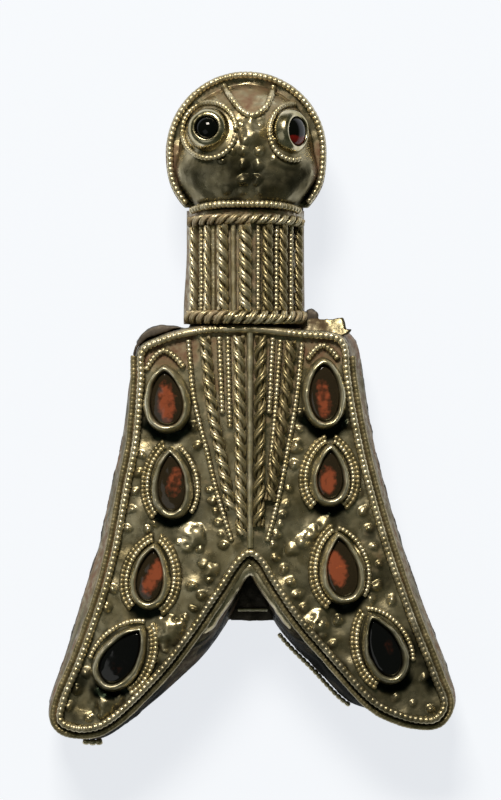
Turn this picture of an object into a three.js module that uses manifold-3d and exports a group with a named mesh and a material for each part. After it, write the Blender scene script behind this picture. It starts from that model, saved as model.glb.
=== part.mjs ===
// A cicada-shaped fibula brooch: gold sheet over a grey metal core, beaded and twisted
// wires, eight drop-shaped garnets on the wings, two round garnets for the eyes.
// Millimetres. It lies on its back: +X to the right, +Y towards the head, +Z up, out of
// the front. The origin is under the middle of the bounding box, on the ground.
import * as THREE from "three";
import { mergeVertices } from "three/addons/utils/BufferGeometryUtils.js";
import Module from "manifold-3d";

const wasm = await Module();
wasm.setup();

// ---------------------------------------------------------------- driving dimensions

const axisX = -0.25; // the midrib's place: the right wing reaches a little further out
const plateBottom = 3.6; // the back plate's underside, over the pin and its spring
const plateTop = 4.6;
const contact = 0.04; // clearance between soldered pieces
const cutGap = 0.25; // clearance where one piece is cut round another

const ridgeHeight = 11.2; // top of the wing sheet along the midrib
const roofSlope = 0.11; // fall of the wing sheet per mm away from the midrib
const wallBend = 8.2; // height at which the side walls stop flaring
const sheetEdge = 0.45; // sheet showing outside the border wire's centre

const beadRadius = 0.3; // border, panel and surround wires
const wireSides = 5;
const outlineSteps = 84;

// The neck is an arch on sides that spread a little towards the foot.
const neck = { x: -0.45, halfWidth: 5.1, foot: 5.75, low: 8.15, high: 19.3, spring: 7.1, rise: 4.5 };
// The head is round, and a little fuller at the chin.
const head = { x: -0.35, y: 24.95, radius: 7.8, chin: 0.3, flange: 7.6, dome: 6.5, rise: 4.5 };
const headSegments = 30;

// Upright wires on the neck, by how far across they stand, ropes and beaded ones in turn.
const filigree = { low: 9.6, high: 17.5, rope: 0.8, bead: 0.62 };
const uprights = [-5.5, -4.75, -4.15, -3.55, -2.65, -1.6, -0.45, 0.8, 1.7, 2.55, 3.2, 3.95, 4.7];

// The wing plate's border, anticlockwise from the top left corner: where the border wire
// runs, and how far the wall's foot stands outside it.
const border = [
  { x: -10.4, y: 5.5, flare: 0.8 },
  { x: -10.6, y: 2.7, flare: 1.15 },
  { x: -11.1, y: -3.4, flare: 1.45 },
  { x: -12.0, y: -8.0, flare: 1.6 },
  { x: -13.1, y: -13.9, flare: 1.75 },
  { x: -14.4, y: -18.7, flare: 1.95 },
  { x: -16.5, y: -24.5, flare: 1.6 },
  { x: -18.3, y: -29.0, flare: 1.3 },
  { x: -18.4, y: -30.5, flare: 1.15 },
  { x: -17.0, y: -31.2, flare: 1.0 },
  { x: -15.1, y: -31.1, flare: 1.4 },
  { x: -13.4, y: -30.2, flare: 1.4 },
  { x: -8.8, y: -25.7, flare: 1.9 },
  { x: -6.0, y: -22.1, flare: 2.5 },
  { x: -2.9, y: -17.5, flare: 2.2 },
  { x: -1.0, y: -14.7, flare: 0.8 },
  { x: 0.0, y: -14.05, flare: 0.6 },
  { x: 1.0, y: -14.7, flare: 0.8 },
  { x: 2.2, y: -16.6, flare: 1.6 },
  { x: 4.6, y: -20.2, flare: 2.3 },
  { x: 7.9, y: -24.1, flare: 2.05 },
  { x: 11.0, y: -27.6, flare: 1.75 },
  { x: 12.3, y: -28.75, flare: 1.0 },
  { x: 13.6, y: -29.5, flare: 0.9 },
  { x: 16.0, y: -30.3, flare: 0.95 },
  { x: 18.0, y: -30.3, flare: 0.85 },
  { x: 18.9, y: -29.0, flare: 1.2 },
  { x: 18.0, y: -26.3, flare: 1.55 },
  { x: 15.6, y: -20.2, flare: 1.6 },
  { x: 13.3, y: -13.6, flare: 1.6 },
  { x: 11.3, y: -6.6, flare: 1.55 },
  { x: 10.1, y: -1.2, flare: 1.6 },
  { x: 9.4, y: 3.2, flare: 1.65 },
  { x: 9.1, y: 6.0, flare: 1.35 },
  { x: 8.4, y: 6.75, flare: 1.1 },
  { x: 5.0, y: 7.1, flare: 0.55 },
  { x: 0.0, y: 7.6, flare: 0.5 },
  { x: -4.9, y: 7.45, flare: 0.5 },
  { x: -8.6, y: 6.5, flare: 0.6 },
];

// Wires of the panel on each side of the midrib, as [x, y] from the top edge down.
const ropeRadius = 0.55;
const panelWires = [
  { name: "left_rope_inner", radius: ropeRadius, path: [[-1.05, 6.9], [-0.95, 0], [-0.85, -11.5]] },
  { name: "left_bead_first", radius: beadRadius, path: [[-2.15, 6.9], [-1.95, -2]] },
  { name: "left_bead_second", radius: beadRadius, path: [[-3.0, 6.9], [-2.7, -0.6]] },
  {
    name: "left_rope_outer",
    radius: ropeRadius,
    path: [[-4.4, 6.8], [-3.6, -0.6], [-2.75, -4.9], [-1.95, -9.6]],
  },
  {
    name: "left_bead_edge",
    radius: beadRadius,
    path: [[-6.0, 6.6], [-5.4, 0.7], [-4.3, -3.8], [-3.0, -9], [-1.75, -13]],
  },
  { name: "right_rope_inner", radius: ropeRadius, path: [[1.05, 6.9], [0.95, 0], [0.85, -11.5]] },
  { name: "right_bead_first", radius: beadRadius, path: [[2.2, 6.8], [1.85, -0.6]] },
  { name: "right_bead_second", radius: beadRadius, path: [[2.95, 6.6], [2.42, -0.8]] },
  {
    name: "right_rope_outer",
    radius: ropeRadius,
    path: [[3.95, 6.4], [3.4, 0.6], [2.6, -4.6], [1.9, -9.0]],
  },
  {
    name: "right_bead_edge",
    radius: beadRadius,
    path: [[5.05, 6.3], [4.5, 0.9], [3.7, -3.8], [2.7, -9], [1.65, -13]],
  },
];

// Settings: centre, bezel width and length, lean of the point to the left in degrees, the
// stretch of the beaded surround, in degrees anticlockwise from the point, and how far the
// surround arches away from the point.
const settings = [
  { name: "left_1", x: -8.1, y: 0.75, width: 4.6, length: 6.5, lean: 4, wire: [-50, 50], arch: 1.2 },
  { name: "left_2", x: -7.55, y: -7.3, width: 4.3, length: 7.2, lean: 2, wire: [-140, 150], arch: 0 },
  { name: "left_3", x: -9.6, y: -16.35, width: 4.1, length: 6.7, lean: -8, wire: [-135, 150], arch: 0 },
  { name: "left_4", x: -12.4, y: -24.2, width: 4.7, length: 7.5, lean: -35, wire: [-125, 100], arch: 0 },
  { name: "right_1", x: 7.15, y: 1.4, width: 4.2, length: 6.8, lean: 2, wire: [-42, 42], arch: 0.95 },
  { name: "right_2", x: 7.7, y: -6.55, width: 4.1, length: 6.3, lean: -1, wire: [-150, 150], arch: 0 },
  { name: "right_3", x: 8.85, y: -15.7, width: 4.5, length: 7.0, lean: 7, wire: [-140, 140], arch: 0 },
  { name: "right_4", x: 12.9, y: -23.35, width: 4.5, length: 7.5, lean: 22, wire: [-110, 140], arch: 0 },
];
const bezel = { height: 1.7, wall: 0.5, sides: 14 };
const garnet = { gap: 0.1, girdle: 0.75, table: 1.05 };
const surroundGap = 0.38; // bezel's face to the surround wire's centre

// Eyes: the foot's centre, the way each collar faces in degrees from straight up, its own
// radii, how high it stands, and the centre, reach and stretch of the beads round it.
const eyes = [
  {
    side: "left", x: -3.95, y: 26.95, turn: -6, nod: 9, foot: 2.15, bore: 1.15, above: 1.5,
    ring: { x: -4.0, across: 2.62, along: 2.75, span: [0, 350] },
  },
  {
    side: "right", x: 3.95, y: 26.8, turn: 52, nod: 4, foot: 2.25, bore: 1.45, above: 0.95,
    ring: { x: 4.2, across: 2.3, along: 2.78, span: [82, 290] },
  },
];
const eyeBelow = 1.6; // how far a collar reaches below its foot's centre, before it is cut

const pinWire = 0.4;
const axle = { y: 20.5, z: 1.7, radius: 0.5, halfLength: 4.9 };
// The spring's turns lie between start and end, and a bridge stands clear between the banks.
const coil = { radius: 1.08, wire: 0.34, turns: 2.5, start: 1.15, end: 3.1, bridge: 0.14, clear: 0.5 };
const coilSteps = 56;
const lug = { inner: 3.5, outer: 4.3, width: 2.6, strap: 0.3 };
const catchHook = { high: -8.5, low: -16.5, wall: 0.6, lip: 0.6, left: -1.5, right: 0.3 };
const pinTip = -18.2;

// ---------------------------------------------------------------- materials

const gold = { color: 0x8a7748, roughness: 0.34, metalness: 0.95 };
const wornGold = { color: 0xa38d58, roughness: 0.28, metalness: 0.95 };
const greyMetal = { color: 0x5f5655, roughness: 0.7, metalness: 0.6 };
const redGarnet = { color: 0x5c140c, roughness: 0.08, metalness: 0 };
const darkGarnet = { color: 0x1c0706, roughness: 0.06, metalness: 0 };

const brooch = new THREE.Group();
brooch.position.x = axisX;

function add(name, geometry, look, parent = brooch) {
  const mesh = new THREE.Mesh(geometry, new THREE.MeshStandardMaterial(look));
  mesh.name = name;
  parent.add(mesh);
  return mesh;
}

// ---------------------------------------------------------------- surfaces

const roofHeight = (x) => ridgeHeight - roofSlope * Math.abs(x);

// Height of the head sheet at a distance from the head's centre.
function domeHeight(distance) {
  const across = Math.min(1, distance / head.dome);
  return head.flange + head.rise * Math.pow(1 - across * across, 0.7);
}

const faceHeight = (x, y) => domeHeight(Math.hypot(x - head.x, y - head.y));

// ---------------------------------------------------------------- geometry helpers

function toSolid(geometry) {
  const plain = geometry.clone();
  plain.deleteAttribute("normal");
  plain.deleteAttribute("uv");
  const merged = mergeVertices(plain, 1e-4);
  const mesh = new wasm.Mesh({
    numProp: 3,
    vertProperties: merged.attributes.position.array,
    triVerts: new Uint32Array(merged.index.array),
  });
  return new wasm.Manifold(mesh);
}

function toGeometry(solid) {
  const { vertProperties, triVerts } = solid.getMesh();
  const geometry = new THREE.BufferGeometry();
  geometry.setAttribute("position", new THREE.BufferAttribute(vertProperties, 3));
  geometry.setIndex(new THREE.BufferAttribute(triVerts, 1));
  return geometry;
}

// A closed solid through equal rings of points, from the lowest ring to the highest.
// With hollow set, the last ring joins the first, which makes a band round a hole.
function loft(rings, hollow = false) {
  const count = rings[0].length;
  const index = [];
  const layers = hollow ? rings.length : rings.length - 1;
  for (let layer = 0; layer < layers; layer++) {
    const low = layer * count;
    const high = ((layer + 1) % rings.length) * count;
    for (let i = 0; i < count; i++) {
      const next = (i + 1) % count;
      index.push(low + i, low + next, high + next, low + i, high + next, high + i);
    }
  }
  if (!hollow) {
    const flat = (ring) => ring.map((p) => new THREE.Vector2(p.x, p.y));
    const lastRing = (rings.length - 1) * count;
    for (const [a, b, c] of THREE.ShapeUtils.triangulateShape(flat(rings[0]), []))
      index.push(c, b, a);
    for (const [a, b, c] of THREE.ShapeUtils.triangulateShape(flat(rings.at(-1)), []))
      index.push(lastRing + a, lastRing + b, lastRing + c);
  }
  const geometry = new THREE.BufferGeometry().setFromPoints(rings.flat());
  geometry.setIndex(index);
  return geometry;
}

// A round wire along a curve.
function wire(curve, radius, steps, sides = wireSides) {
  const section = new THREE.Shape();
  for (let i = 0; i < sides; i++) {
    const turn = (i / sides) * 2 * Math.PI;
    const [x, y] = [radius * Math.cos(turn), radius * Math.sin(turn)];
    if (i === 0) section.moveTo(x, y);
    else section.lineTo(x, y);
  }
  section.closePath();
  return new THREE.ExtrudeGeometry(section, { steps, extrudePath: curve, curveSegments: 1 });
}

// A smooth curve through [x, y] points, laid on a surface at the wire's own radius.
function laidCurve(points, height, radius) {
  const plan = new THREE.CatmullRomCurve3(points.map(([x, y]) => new THREE.Vector3(x, y, 0)));
  const lift = radius + contact;
  const on = ({ x, y }) => new THREE.Vector3(x, y, height(x, y) + lift);
  return new THREE.CatmullRomCurve3(plan.getSpacedPoints(12).map(on));
}

function prism(corners, low, high) {
  const outline = new THREE.Shape(corners.map(([x, y]) => new THREE.Vector2(x, y)));
  const geometry = new THREE.ExtrudeGeometry(outline, { depth: high - low, bevelEnabled: false });
  return geometry.translate(0, 0, low);
}

// An upright box between its lowest and highest corners.
function block([x0, y0, z0], [x1, y1, z1]) {
  const box = new THREE.BoxGeometry(x1 - x0, y1 - y0, z1 - z0);
  return toSolid(box.translate((x0 + x1) / 2, (y0 + y1) / 2, (z0 + z1) / 2));
}

// A closed drop-shaped outline with its point up. Sharpness 0 gives an ellipse.
function drop(width, length, height, sharpness = 0.55) {
  const widest = 2 * Math.atan(Math.sqrt(1 + sharpness));
  const shape = (t) => Math.sin(t) * Math.pow(Math.sin(t / 2), sharpness);
  const ring = [];
  for (let i = 0; i < bezel.sides; i++) {
    const t = (i / bezel.sides) * 2 * Math.PI;
    const across = (width / 2) * (shape(t) / shape(widest));
    ring.push(new THREE.Vector3(-across, (length / 2) * Math.cos(t), height));
  }
  return ring;
}

// ---------------------------------------------------------------- wing plate

const borderCurve = new THREE.CatmullRomCurve3(
  border.map(({ x, y, flare }) => new THREE.Vector3(x, y, flare)),
  true,
  "centripetal",
);

// A ring of points outside the border wire, at one height. The offset is the wall's own
// flare times spread, plus extra.
function borderRing(spread, extra, height) {
  const ring = [];
  for (let i = 0; i < outlineSteps; i++) {
    const at = i / outlineSteps;
    const point = borderCurve.getPoint(at);
    const along = borderCurve.getTangent(at).setZ(0).normalize();
    const offset = point.z * spread + extra;
    ring.push(new THREE.Vector3(point.x + along.y * offset, point.y - along.x * offset, height));
  }
  return ring;
}

function casingSolid(grow) {
  const body = toSolid(
    loft([
      borderRing(1, grow, plateTop),
      borderRing(0, sheetEdge + grow, wallBend),
      borderRing(0, sheetEdge + grow, ridgeHeight + 2),
    ]),
  );
  const reach = 30;
  const eaves = roofHeight(reach);
  const roof = new THREE.Shape();
  roof.moveTo(-reach, 0).lineTo(reach, 0).lineTo(reach, eaves);
  roof.lineTo(0, ridgeHeight).lineTo(-reach, eaves).closePath();
  const under = new THREE.ExtrudeGeometry(roof, { depth: 80, bevelEnabled: false });
  under.rotateX(Math.PI / 2).translate(0, 40, 0);
  return body.intersect(toSolid(under));
}

// The torn sheet stands up in a small flap at the top right corner.
const flap = toSolid(
  prism([[6.3, 7.2], [8.6, 6.9], [9.5, 7.3], [9.05, 8.7], [7.8, 8.6], [6.6, 8.65]], 7.4, 8.3),
);
add("wing_casing", toGeometry(casingSolid(0).add(flap)), gold);

function buildCore() {
  const foot = borderRing(1, 0, plateBottom);
  const plate = loft([foot, foot.map((p) => p.clone().setZ(plateTop))]);
  const tongue = [[-2.6, -14], [-1.9, -20.9], [2.3, -20.9], [3.4, -14]];
  const disc = new THREE.CylinderGeometry(7.3, 7.3, plateTop - plateBottom, headSegments);
  disc.rotateX(Math.PI / 2).translate(head.x, head.y, (plateTop + plateBottom) / 2);
  const shoulder = [
    [-11.4, 4.2], [-6.5, 4.2], [-6.5, 7.9], [-8.7, 8.0], [-9.6, 7.8], [-10.4, 7.3], [-10.95, 6.5], [-11.4, 5.3],
  ];
  const lump = [[5.55, 8.35], [6.6, 8.35], [6.65, 9.2], [6.1, 9.7], [5.55, 9.5]];
  return toSolid(plate)
    .add(toSolid(prism(tongue, plateBottom, plateTop)))
    .add(block([-5.9, 5, plateBottom], [5.2, 21, plateTop]))
    .add(toSolid(disc))
    .add(block([4.5, 8.5, plateBottom], [6.2, 9.4, plateTop]))
    .add(toSolid(prism(shoulder, plateBottom + 0.2, 8.6)).subtract(casingSolid(cutGap)))
    .add(toSolid(prism(lump, plateBottom + 0.2, 7.1)).subtract(casingSolid(cutGap)));
}
add("silver_core", toGeometry(buildCore()), greyMetal);

const borderSteps = 90;
const borderPath = [];
for (let i = 0; i <= borderSteps; i++) {
  const { x, y } = borderCurve.getPoint((i / borderSteps) * 0.998);
  borderPath.push(new THREE.Vector3(x, y, roofHeight(x) + beadRadius + contact));
}
add("border_wire", wire(new THREE.CatmullRomCurve3(borderPath), beadRadius, borderSteps), wornGold);

// ---------------------------------------------------------------- V-shaped panel

const midrib = [[0, 7.05], [0, -13.45]];
const midribRadius = 0.26;
add("midrib_wire", wire(laidCurve(midrib, roofHeight, midribRadius), midribRadius, 2), wornGold);

for (const { name, radius, path } of panelWires) {
  const curve = laidCurve(path, roofHeight, radius);
  add("panel_" + name, wire(curve, radius, 7), wornGold);
}

// ---------------------------------------------------------------- garnets on the wings

for (const { name, x, y, width, length, lean, wire: stretch, arch } of settings) {
  const seat = new THREE.Group();
  seat.position.set(x, y, roofHeight(x) + contact);
  seat.rotation.y = Math.sign(x) * Math.atan(roofSlope);
  brooch.add(seat);
  const setting = new THREE.Group();
  setting.rotation.z = THREE.MathUtils.degToRad(lean);
  seat.add(setting);

  const inner = bezel.wall * 2;
  const band = [
    drop(width, length, 0),
    drop(width - 0.1, length - 0.1, bezel.height - 0.25),
    drop(width - 0.5, length - 0.5, bezel.height),
    drop(width - inner, length - inner, bezel.height - 0.2),
    drop(width - inner, length - inner, 0),
  ];
  add("bezel_" + name, loft(band, true), wornGold, setting);

  const slack = inner + 2 * garnet.gap;
  const stone = [
    drop(width - slack, length - slack, 0),
    drop(width - slack, length - slack, garnet.girdle),
    drop(width - slack - 0.5, length - slack - 0.6, garnet.table),
  ];
  const look = name.endsWith("4") ? darkGarnet : redGarnet;
  add("garnet_" + name, loft(stone), look, setting);

  const [from, to] = stretch.map(THREE.MathUtils.degToRad);
  const around = [];
  for (let i = 0; i <= 9; i++) {
    const t = from + ((to - from) * i) / 9;
    const side = (width / 2 + surroundGap) * Math.sin(t) * Math.pow(Math.abs(Math.sin(t / 2)), 0.3);
    const up = (length / 2 + surroundGap + arch) * Math.cos(t);
    around.push(new THREE.Vector3(-side * 1.12, up, beadRadius));
  }
  add("surround_" + name, wire(new THREE.CatmullRomCurve3(around), beadRadius * 0.9, 10), wornGold, setting);
}

// ---------------------------------------------------------------- neck

function neckProfile() {
  const { x, halfWidth, foot, spring, rise } = neck;
  const profile = new THREE.Shape();
  profile.moveTo(x - foot, plateTop).lineTo(x + foot, plateTop);
  profile.lineTo(x + halfWidth, spring);
  profile.absellipse(x, spring, halfWidth, rise, 0, Math.PI);
  return profile.closePath();
}

// A line over the neck's arch, clear of its sides. It bows towards the head in the middle.
function neckArch(out, y, bow) {
  const [start, end] = [160, 20].map(THREE.MathUtils.degToRad);
  const points = [];
  for (let i = 0; i <= 10; i++) {
    const turn = start + ((end - start) * i) / 10;
    const x = neck.x + (neck.halfWidth + out) * Math.cos(turn);
    const z = neck.spring + (neck.rise + out) * Math.sin(turn);
    points.push(new THREE.Vector3(x, y + bow * Math.sin(turn), z));
  }
  return new THREE.CatmullRomCurve3(points);
}

const sleeve = new THREE.ExtrudeGeometry(neckProfile(), {
  depth: neck.high - neck.low,
  bevelEnabled: false,
  curveSegments: 14,
});
const sleeveMesh = add("neck_sleeve", sleeve, gold);
sleeveMesh.rotation.x = Math.PI / 2;
sleeveMesh.position.y = neck.high;

const bandSteps = 14;
const bands = [
  { name: "neck_collar_ring", radius: 0.38, y: 18.9, bow: 0.35 },
  { name: "neck_band_upper", radius: 0.44, y: 18.05, bow: 0.1 },
  { name: "neck_band_lower", radius: 0.56, y: 8.74, bow: 0 },
];
for (const { name, radius, y, bow } of bands)
  add(name, wire(neckArch(radius + 0.06, y, bow), radius, bandSteps), wornGold);

// The upright wires stand side by side over the arch, slimmer down its sides.
function buildFiligree() {
  const { low, high, rope, bead } = filigree;
  let fused = null;
  uprights.forEach((across, i) => {
    const full = i % 2 === 0 ? rope : bead;
    const turn = Math.acos((across - neck.x) / (neck.halfWidth + full));
    const radius = full * (0.5 + 0.5 * Math.sin(turn));
    const out = radius + 0.05;
    const rod = new THREE.CylinderGeometry(radius, radius, high - low, 8);
    rod.translate(across, (low + high) / 2, neck.spring + (neck.rise + out) * Math.sin(turn));
    fused = fused ? fused.add(toSolid(rod)) : toSolid(rod);
  });
  return fused;
}
add("neck_filigree", toGeometry(buildFiligree()), wornGold);

// ---------------------------------------------------------------- head

// How far the head reaches in a direction, as a share of its radius.
function chinReach(angle) {
  const down = THREE.MathUtils.smoothstep(-Math.sin(angle), 0.05, 0.45);
  return 1 + (head.chin / head.radius) * down;
}

function headSolid(grow) {
  const { radius, flange, dome } = head;
  const profile = [
    new THREE.Vector2(0, plateTop),
    new THREE.Vector2(radius - 0.3, plateTop),
    new THREE.Vector2(radius, flange - 0.4),
    new THREE.Vector2(radius - 0.1, flange + grow),
  ];
  for (const part of [1, 0.97, 0.88, 0.72, 0.5, 0.25])
    profile.push(new THREE.Vector2(dome * part + grow, domeHeight(dome * part) + grow));
  profile.push(new THREE.Vector2(0, domeHeight(0) + grow));
  const turned = new THREE.LatheGeometry(profile, headSegments);
  turned.rotateX(Math.PI / 2);
  const spots = turned.attributes.position;
  for (let i = 0; i < spots.count; i++) {
    const [x, y] = [spots.getX(i), spots.getY(i)];
    const reach = chinReach(Math.atan2(y, x));
    spots.setXY(i, x * reach, y * reach);
  }
  return toSolid(turned.translate(head.x, head.y, 0));
}

const neckCut = block([-9, 10, 0], [9, 19.5, 30]);
add("head_casing", toGeometry(headSolid(0).subtract(neckCut)), gold);

function arcPoints(from, to, count, place) {
  const points = [];
  for (let i = 0; i <= count; i++)
    points.push(place(THREE.MathUtils.degToRad(from + ((to - from) * i) / count)));
  return points;
}

const rimRadius = 0.34;
const rim = arcPoints(-40, 221, 24, (t) => {
  const reach = (head.radius - 0.35) * chinReach(t);
  const [x, y] = [head.x + reach * Math.cos(t), head.y + reach * Math.sin(t)];
  return new THREE.Vector3(x, y, head.flange + rimRadius + contact);
});
add("head_rim_wire", wire(new THREE.CatmullRomCurve3(rim), rimRadius, 30), wornGold);

const loop = [
  [-2.5, 31.1], [-2.15, 30.6], [-1.55, 29.7], [-0.75, 28.75], [0.3, 28.35], [1.3, 28.95], [1.95, 29.95],
  [2.2, 31.0],
];
const loopCurve = laidCurve(loop, (x, y) => faceHeight(x, y) + 0.28, beadRadius);
add("forehead_loop", wire(loopCurve, beadRadius, 10), wornGold);

for (const { side, x, y, turn, nod, foot, bore, above, ring } of eyes) {
  const stand = new THREE.Group();
  stand.position.set(x, y, faceHeight(x, y));
  stand.rotation.set(THREE.MathUtils.degToRad(-nod), THREE.MathUtils.degToRad(turn), 0);
  stand.updateMatrix();

  const profile = [
    [bore, -eyeBelow],
    [foot * 0.7, -eyeBelow],
    [foot, 0],
    [foot - 0.2, above * 0.55],
    [bore + 0.35, above],
    [bore + 0.1, above],
    [bore, above - 0.2],
    [bore, -eyeBelow],
  ].map(([reach, height]) => new THREE.Vector2(reach, height));
  const collar = new THREE.LatheGeometry(profile, 14).rotateX(Math.PI / 2);
  const placed = toSolid(collar.applyMatrix4(stand.matrix)).subtract(headSolid(cutGap));
  add("eye_collar_" + side, toGeometry(placed), wornGold);

  const girdle = bore - 0.1;
  const stone = [
    [0, -eyeBelow], [girdle, -eyeBelow], [girdle, above - 0.4], [girdle * 0.8, above - 0.12],
    [girdle * 0.4, above + 0.05], [0, above + 0.1],
  ].map(([reach, height]) => new THREE.Vector2(reach, height));
  const gem = new THREE.LatheGeometry(stone, 14).rotateX(Math.PI / 2);
  const set = toSolid(gem.applyMatrix4(stand.matrix)).subtract(headSolid(cutGap));
  add("eye_garnet_" + side, toGeometry(set), darkGarnet);

  const ringCurve = new THREE.CatmullRomCurve3(
    arcPoints(...ring.span, 16, (t) => {
      const [px, py] = [ring.x + ring.across * Math.cos(t), y + ring.along * Math.sin(t)];
      return new THREE.Vector3(px, py, faceHeight(px, py) + beadRadius + 0.45);
    }),
  );
  add("eye_ring_" + side, wire(ringCurve, beadRadius, 18), wornGold);
}

// ---------------------------------------------------------------- base wires

// Lengths of beaded wire left along the foot of the walls, by their place in the border.
const baseWires = [
  { name: "base_wire_left", from: 9.3, to: 10.1 },
  { name: "base_wire_right", from: 19.1, to: 21.2 },
];
for (const { name, from, to } of baseWires) {
  const points = [];
  for (let i = 0; i <= 6; i++) {
    const at = (from + ((to - from) * i) / 6) / border.length;
    const point = borderCurve.getPoint(at);
    const along = borderCurve.getTangent(at).setZ(0).normalize();
    const out = point.z + 0.36;
    points.push(new THREE.Vector3(point.x + along.y * out, point.y - along.x * out, plateTop - 0.5));
  }
  add(name, wire(new THREE.CatmullRomCurve3(points), beadRadius, 8), wornGold);
}

// ---------------------------------------------------------------- pin and catch

// Two lugs hang from a strap on the back plate and hold the axle between them.
function buildBracket() {
  const { inner, outer, width, strap } = lug;
  const [low, high] = [axle.y - width / 2, axle.y + width / 2];
  const hole = new THREE.CylinderGeometry(axle.radius + 0.06, axle.radius + 0.06, 20, 12);
  hole.rotateZ(Math.PI / 2).translate(0, axle.y, axle.z);
  return block([-outer, low - 0.6, plateBottom - strap], [outer, high + 0.6, plateBottom])
    .add(block([-outer, low, 0], [-inner, high, plateBottom]))
    .add(block([inner, low, 0], [outer, high, plateBottom]))
    .subtract(toSolid(hole));
}
add("spring_bracket", toGeometry(buildBracket()), greyMetal);

const axleRod = new THREE.CylinderGeometry(axle.radius, axle.radius, 2 * axle.halfLength, 12);
add("spring_axle", axleRod.rotateZ(Math.PI / 2).translate(0, axle.y, axle.z), greyMetal);

// The spring's two banks of turns stand either side of the pin's eye, and a bridge joins
// them round the eye on the head's side.
class SpringPath extends THREE.Curve {
  getPoint(t, target = new THREE.Vector3()) {
    const { radius, turns, start, end, bridge, clear } = coil;
    const outward = Math.abs(t - 0.5) * 2;
    const across = Math.min(1, outward / bridge);
    const wound = Math.max(0, (outward - bridge) / (1 - bridge));
    const x = Math.sign(t - 0.5) * (start * across + (end - start) * wound);
    const reach = radius + clear * (1 - across * across);
    const angle = wound * turns * 2 * Math.PI;
    return target.set(x, axle.y + reach * Math.cos(angle), axle.z + reach * Math.sin(angle));
  }
}
add("pin_spring", wire(new SpringPath(), coil.wire, coilSteps), greyMetal);

// The pin: an eye round the axle and a straight shaft drawn to a point.
function buildPin() {
  const eyeProfile = [[0.65, -0.3], [1.0, -0.3], [1.0, 0.3], [0.65, 0.3], [0.65, -0.3]];
  const loopGeometry = new THREE.LatheGeometry(eyeProfile.map(([x, y]) => new THREE.Vector2(x, y)), 12);
  loopGeometry.rotateZ(Math.PI / 2).translate(0, axle.y, axle.z);
  const start = axle.y - 0.85;
  const shaft = new THREE.LatheGeometry(
    [[0, pinTip], [0.12, pinTip + 0.4], [pinWire, pinTip + 7], [pinWire, start], [0, start]].map(
      ([x, y]) => new THREE.Vector2(x, y),
    ),
    8,
  );
  shaft.translate(0, 0, axle.z);
  return toSolid(loopGeometry).add(toSolid(shaft));
}
add("pin", toGeometry(buildPin()), greyMetal);

function buildCatch() {
  const { high, low, wall, lip, left, right } = catchHook;
  const hook = new THREE.Shape();
  hook.moveTo(left, 0).lineTo(right, 0).lineTo(right, lip).lineTo(left + wall, lip);
  hook.lineTo(left + wall, plateBottom).lineTo(left, plateBottom).closePath();
  return new THREE.ExtrudeGeometry(hook, { depth: high - low, bevelEnabled: false });
}
const catchMesh = add("catch_plate", buildCatch(), greyMetal);
catchMesh.rotation.x = Math.PI / 2;
catchMesh.position.y = catchHook.high;

export default brooch;
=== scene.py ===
"""A cicada fibula brooch lying on its back: gold sheet over a grey metal core, beaded and
wound wires, drop-shaped garnets in collars on the wings and two round ones for the eyes.

Sizes are in millimetres from the midrib, +Y towards the head and +Z out of the front.
"""

import logging
import math
from dataclasses import dataclass, field
from enum import Enum
from functools import partial
from itertools import product
from typing import Callable, Iterable, Sequence

import bmesh
import bpy
import numpy as np
from mathutils import Matrix, Vector
from mathutils.geometry import delaunay_2d_cdt


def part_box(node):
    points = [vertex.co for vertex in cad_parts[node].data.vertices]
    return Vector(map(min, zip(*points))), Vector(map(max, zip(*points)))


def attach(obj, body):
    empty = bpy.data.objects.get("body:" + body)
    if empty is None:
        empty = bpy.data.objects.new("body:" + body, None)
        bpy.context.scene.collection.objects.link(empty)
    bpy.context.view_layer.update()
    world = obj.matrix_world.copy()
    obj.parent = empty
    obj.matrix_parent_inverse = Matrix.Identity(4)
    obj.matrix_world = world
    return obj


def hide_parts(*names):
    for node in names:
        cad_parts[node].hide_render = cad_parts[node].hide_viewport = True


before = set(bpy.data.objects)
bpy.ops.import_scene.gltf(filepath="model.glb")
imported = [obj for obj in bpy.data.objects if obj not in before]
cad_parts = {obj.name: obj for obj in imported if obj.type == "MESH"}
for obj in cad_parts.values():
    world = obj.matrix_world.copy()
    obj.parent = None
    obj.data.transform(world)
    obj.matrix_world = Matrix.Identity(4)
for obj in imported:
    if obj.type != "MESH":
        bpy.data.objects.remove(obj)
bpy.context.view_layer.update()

log = logging.getLogger("brooch")

MM = 0.001
Array = np.ndarray
Material = bpy.types.Material
Piece = bpy.types.Object
Socket = bpy.types.NodeSocket
Tree = bpy.types.NodeTree

_low, _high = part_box("midrib_wire")
AXIS = (_low.x + _high.x) / 2 / MM  # where the midrib stands in the frame
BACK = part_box("silver_core")[0].z / MM  # underside of the back plate
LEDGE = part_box("wing_casing")[0].z / MM  # where the casing's walls stand on it


class Body(Enum):
    """The bodies of the frame."""

    BROOCH = "brooch"
    PIN = "pin"


class Hand(Enum):
    """Which way a rope is wound."""

    RIGHT = 1.0
    LEFT = -1.0


class Slot(Enum):
    """Names of material slots."""

    SHEET = "gold_sheet"
    WIRE = "gold_wire"
    COLLAR = "gold_collar"
    RED = "garnet_red"
    DARK = "garnet_dark"
    CORE = "grey_core"
    PIN = "pin_metal"


# ------------------------------------------------------------------------- small tools


def linear(colour: str) -> tuple[float, float, float, float]:
    """Turns an sRGB hex colour into a linear one.

    Args:
        colour: six hex digits after a #.
    Returns:
        Red, green, blue and alpha.
    """
    parts = [int(colour[i : i + 2], 16) / 255 for i in (1, 3, 5)]
    made = [p / 12.92 if p <= 0.04045 else ((p + 0.055) / 1.055) ** 2.4 for p in parts]
    return (*made, 1.0)


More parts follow.
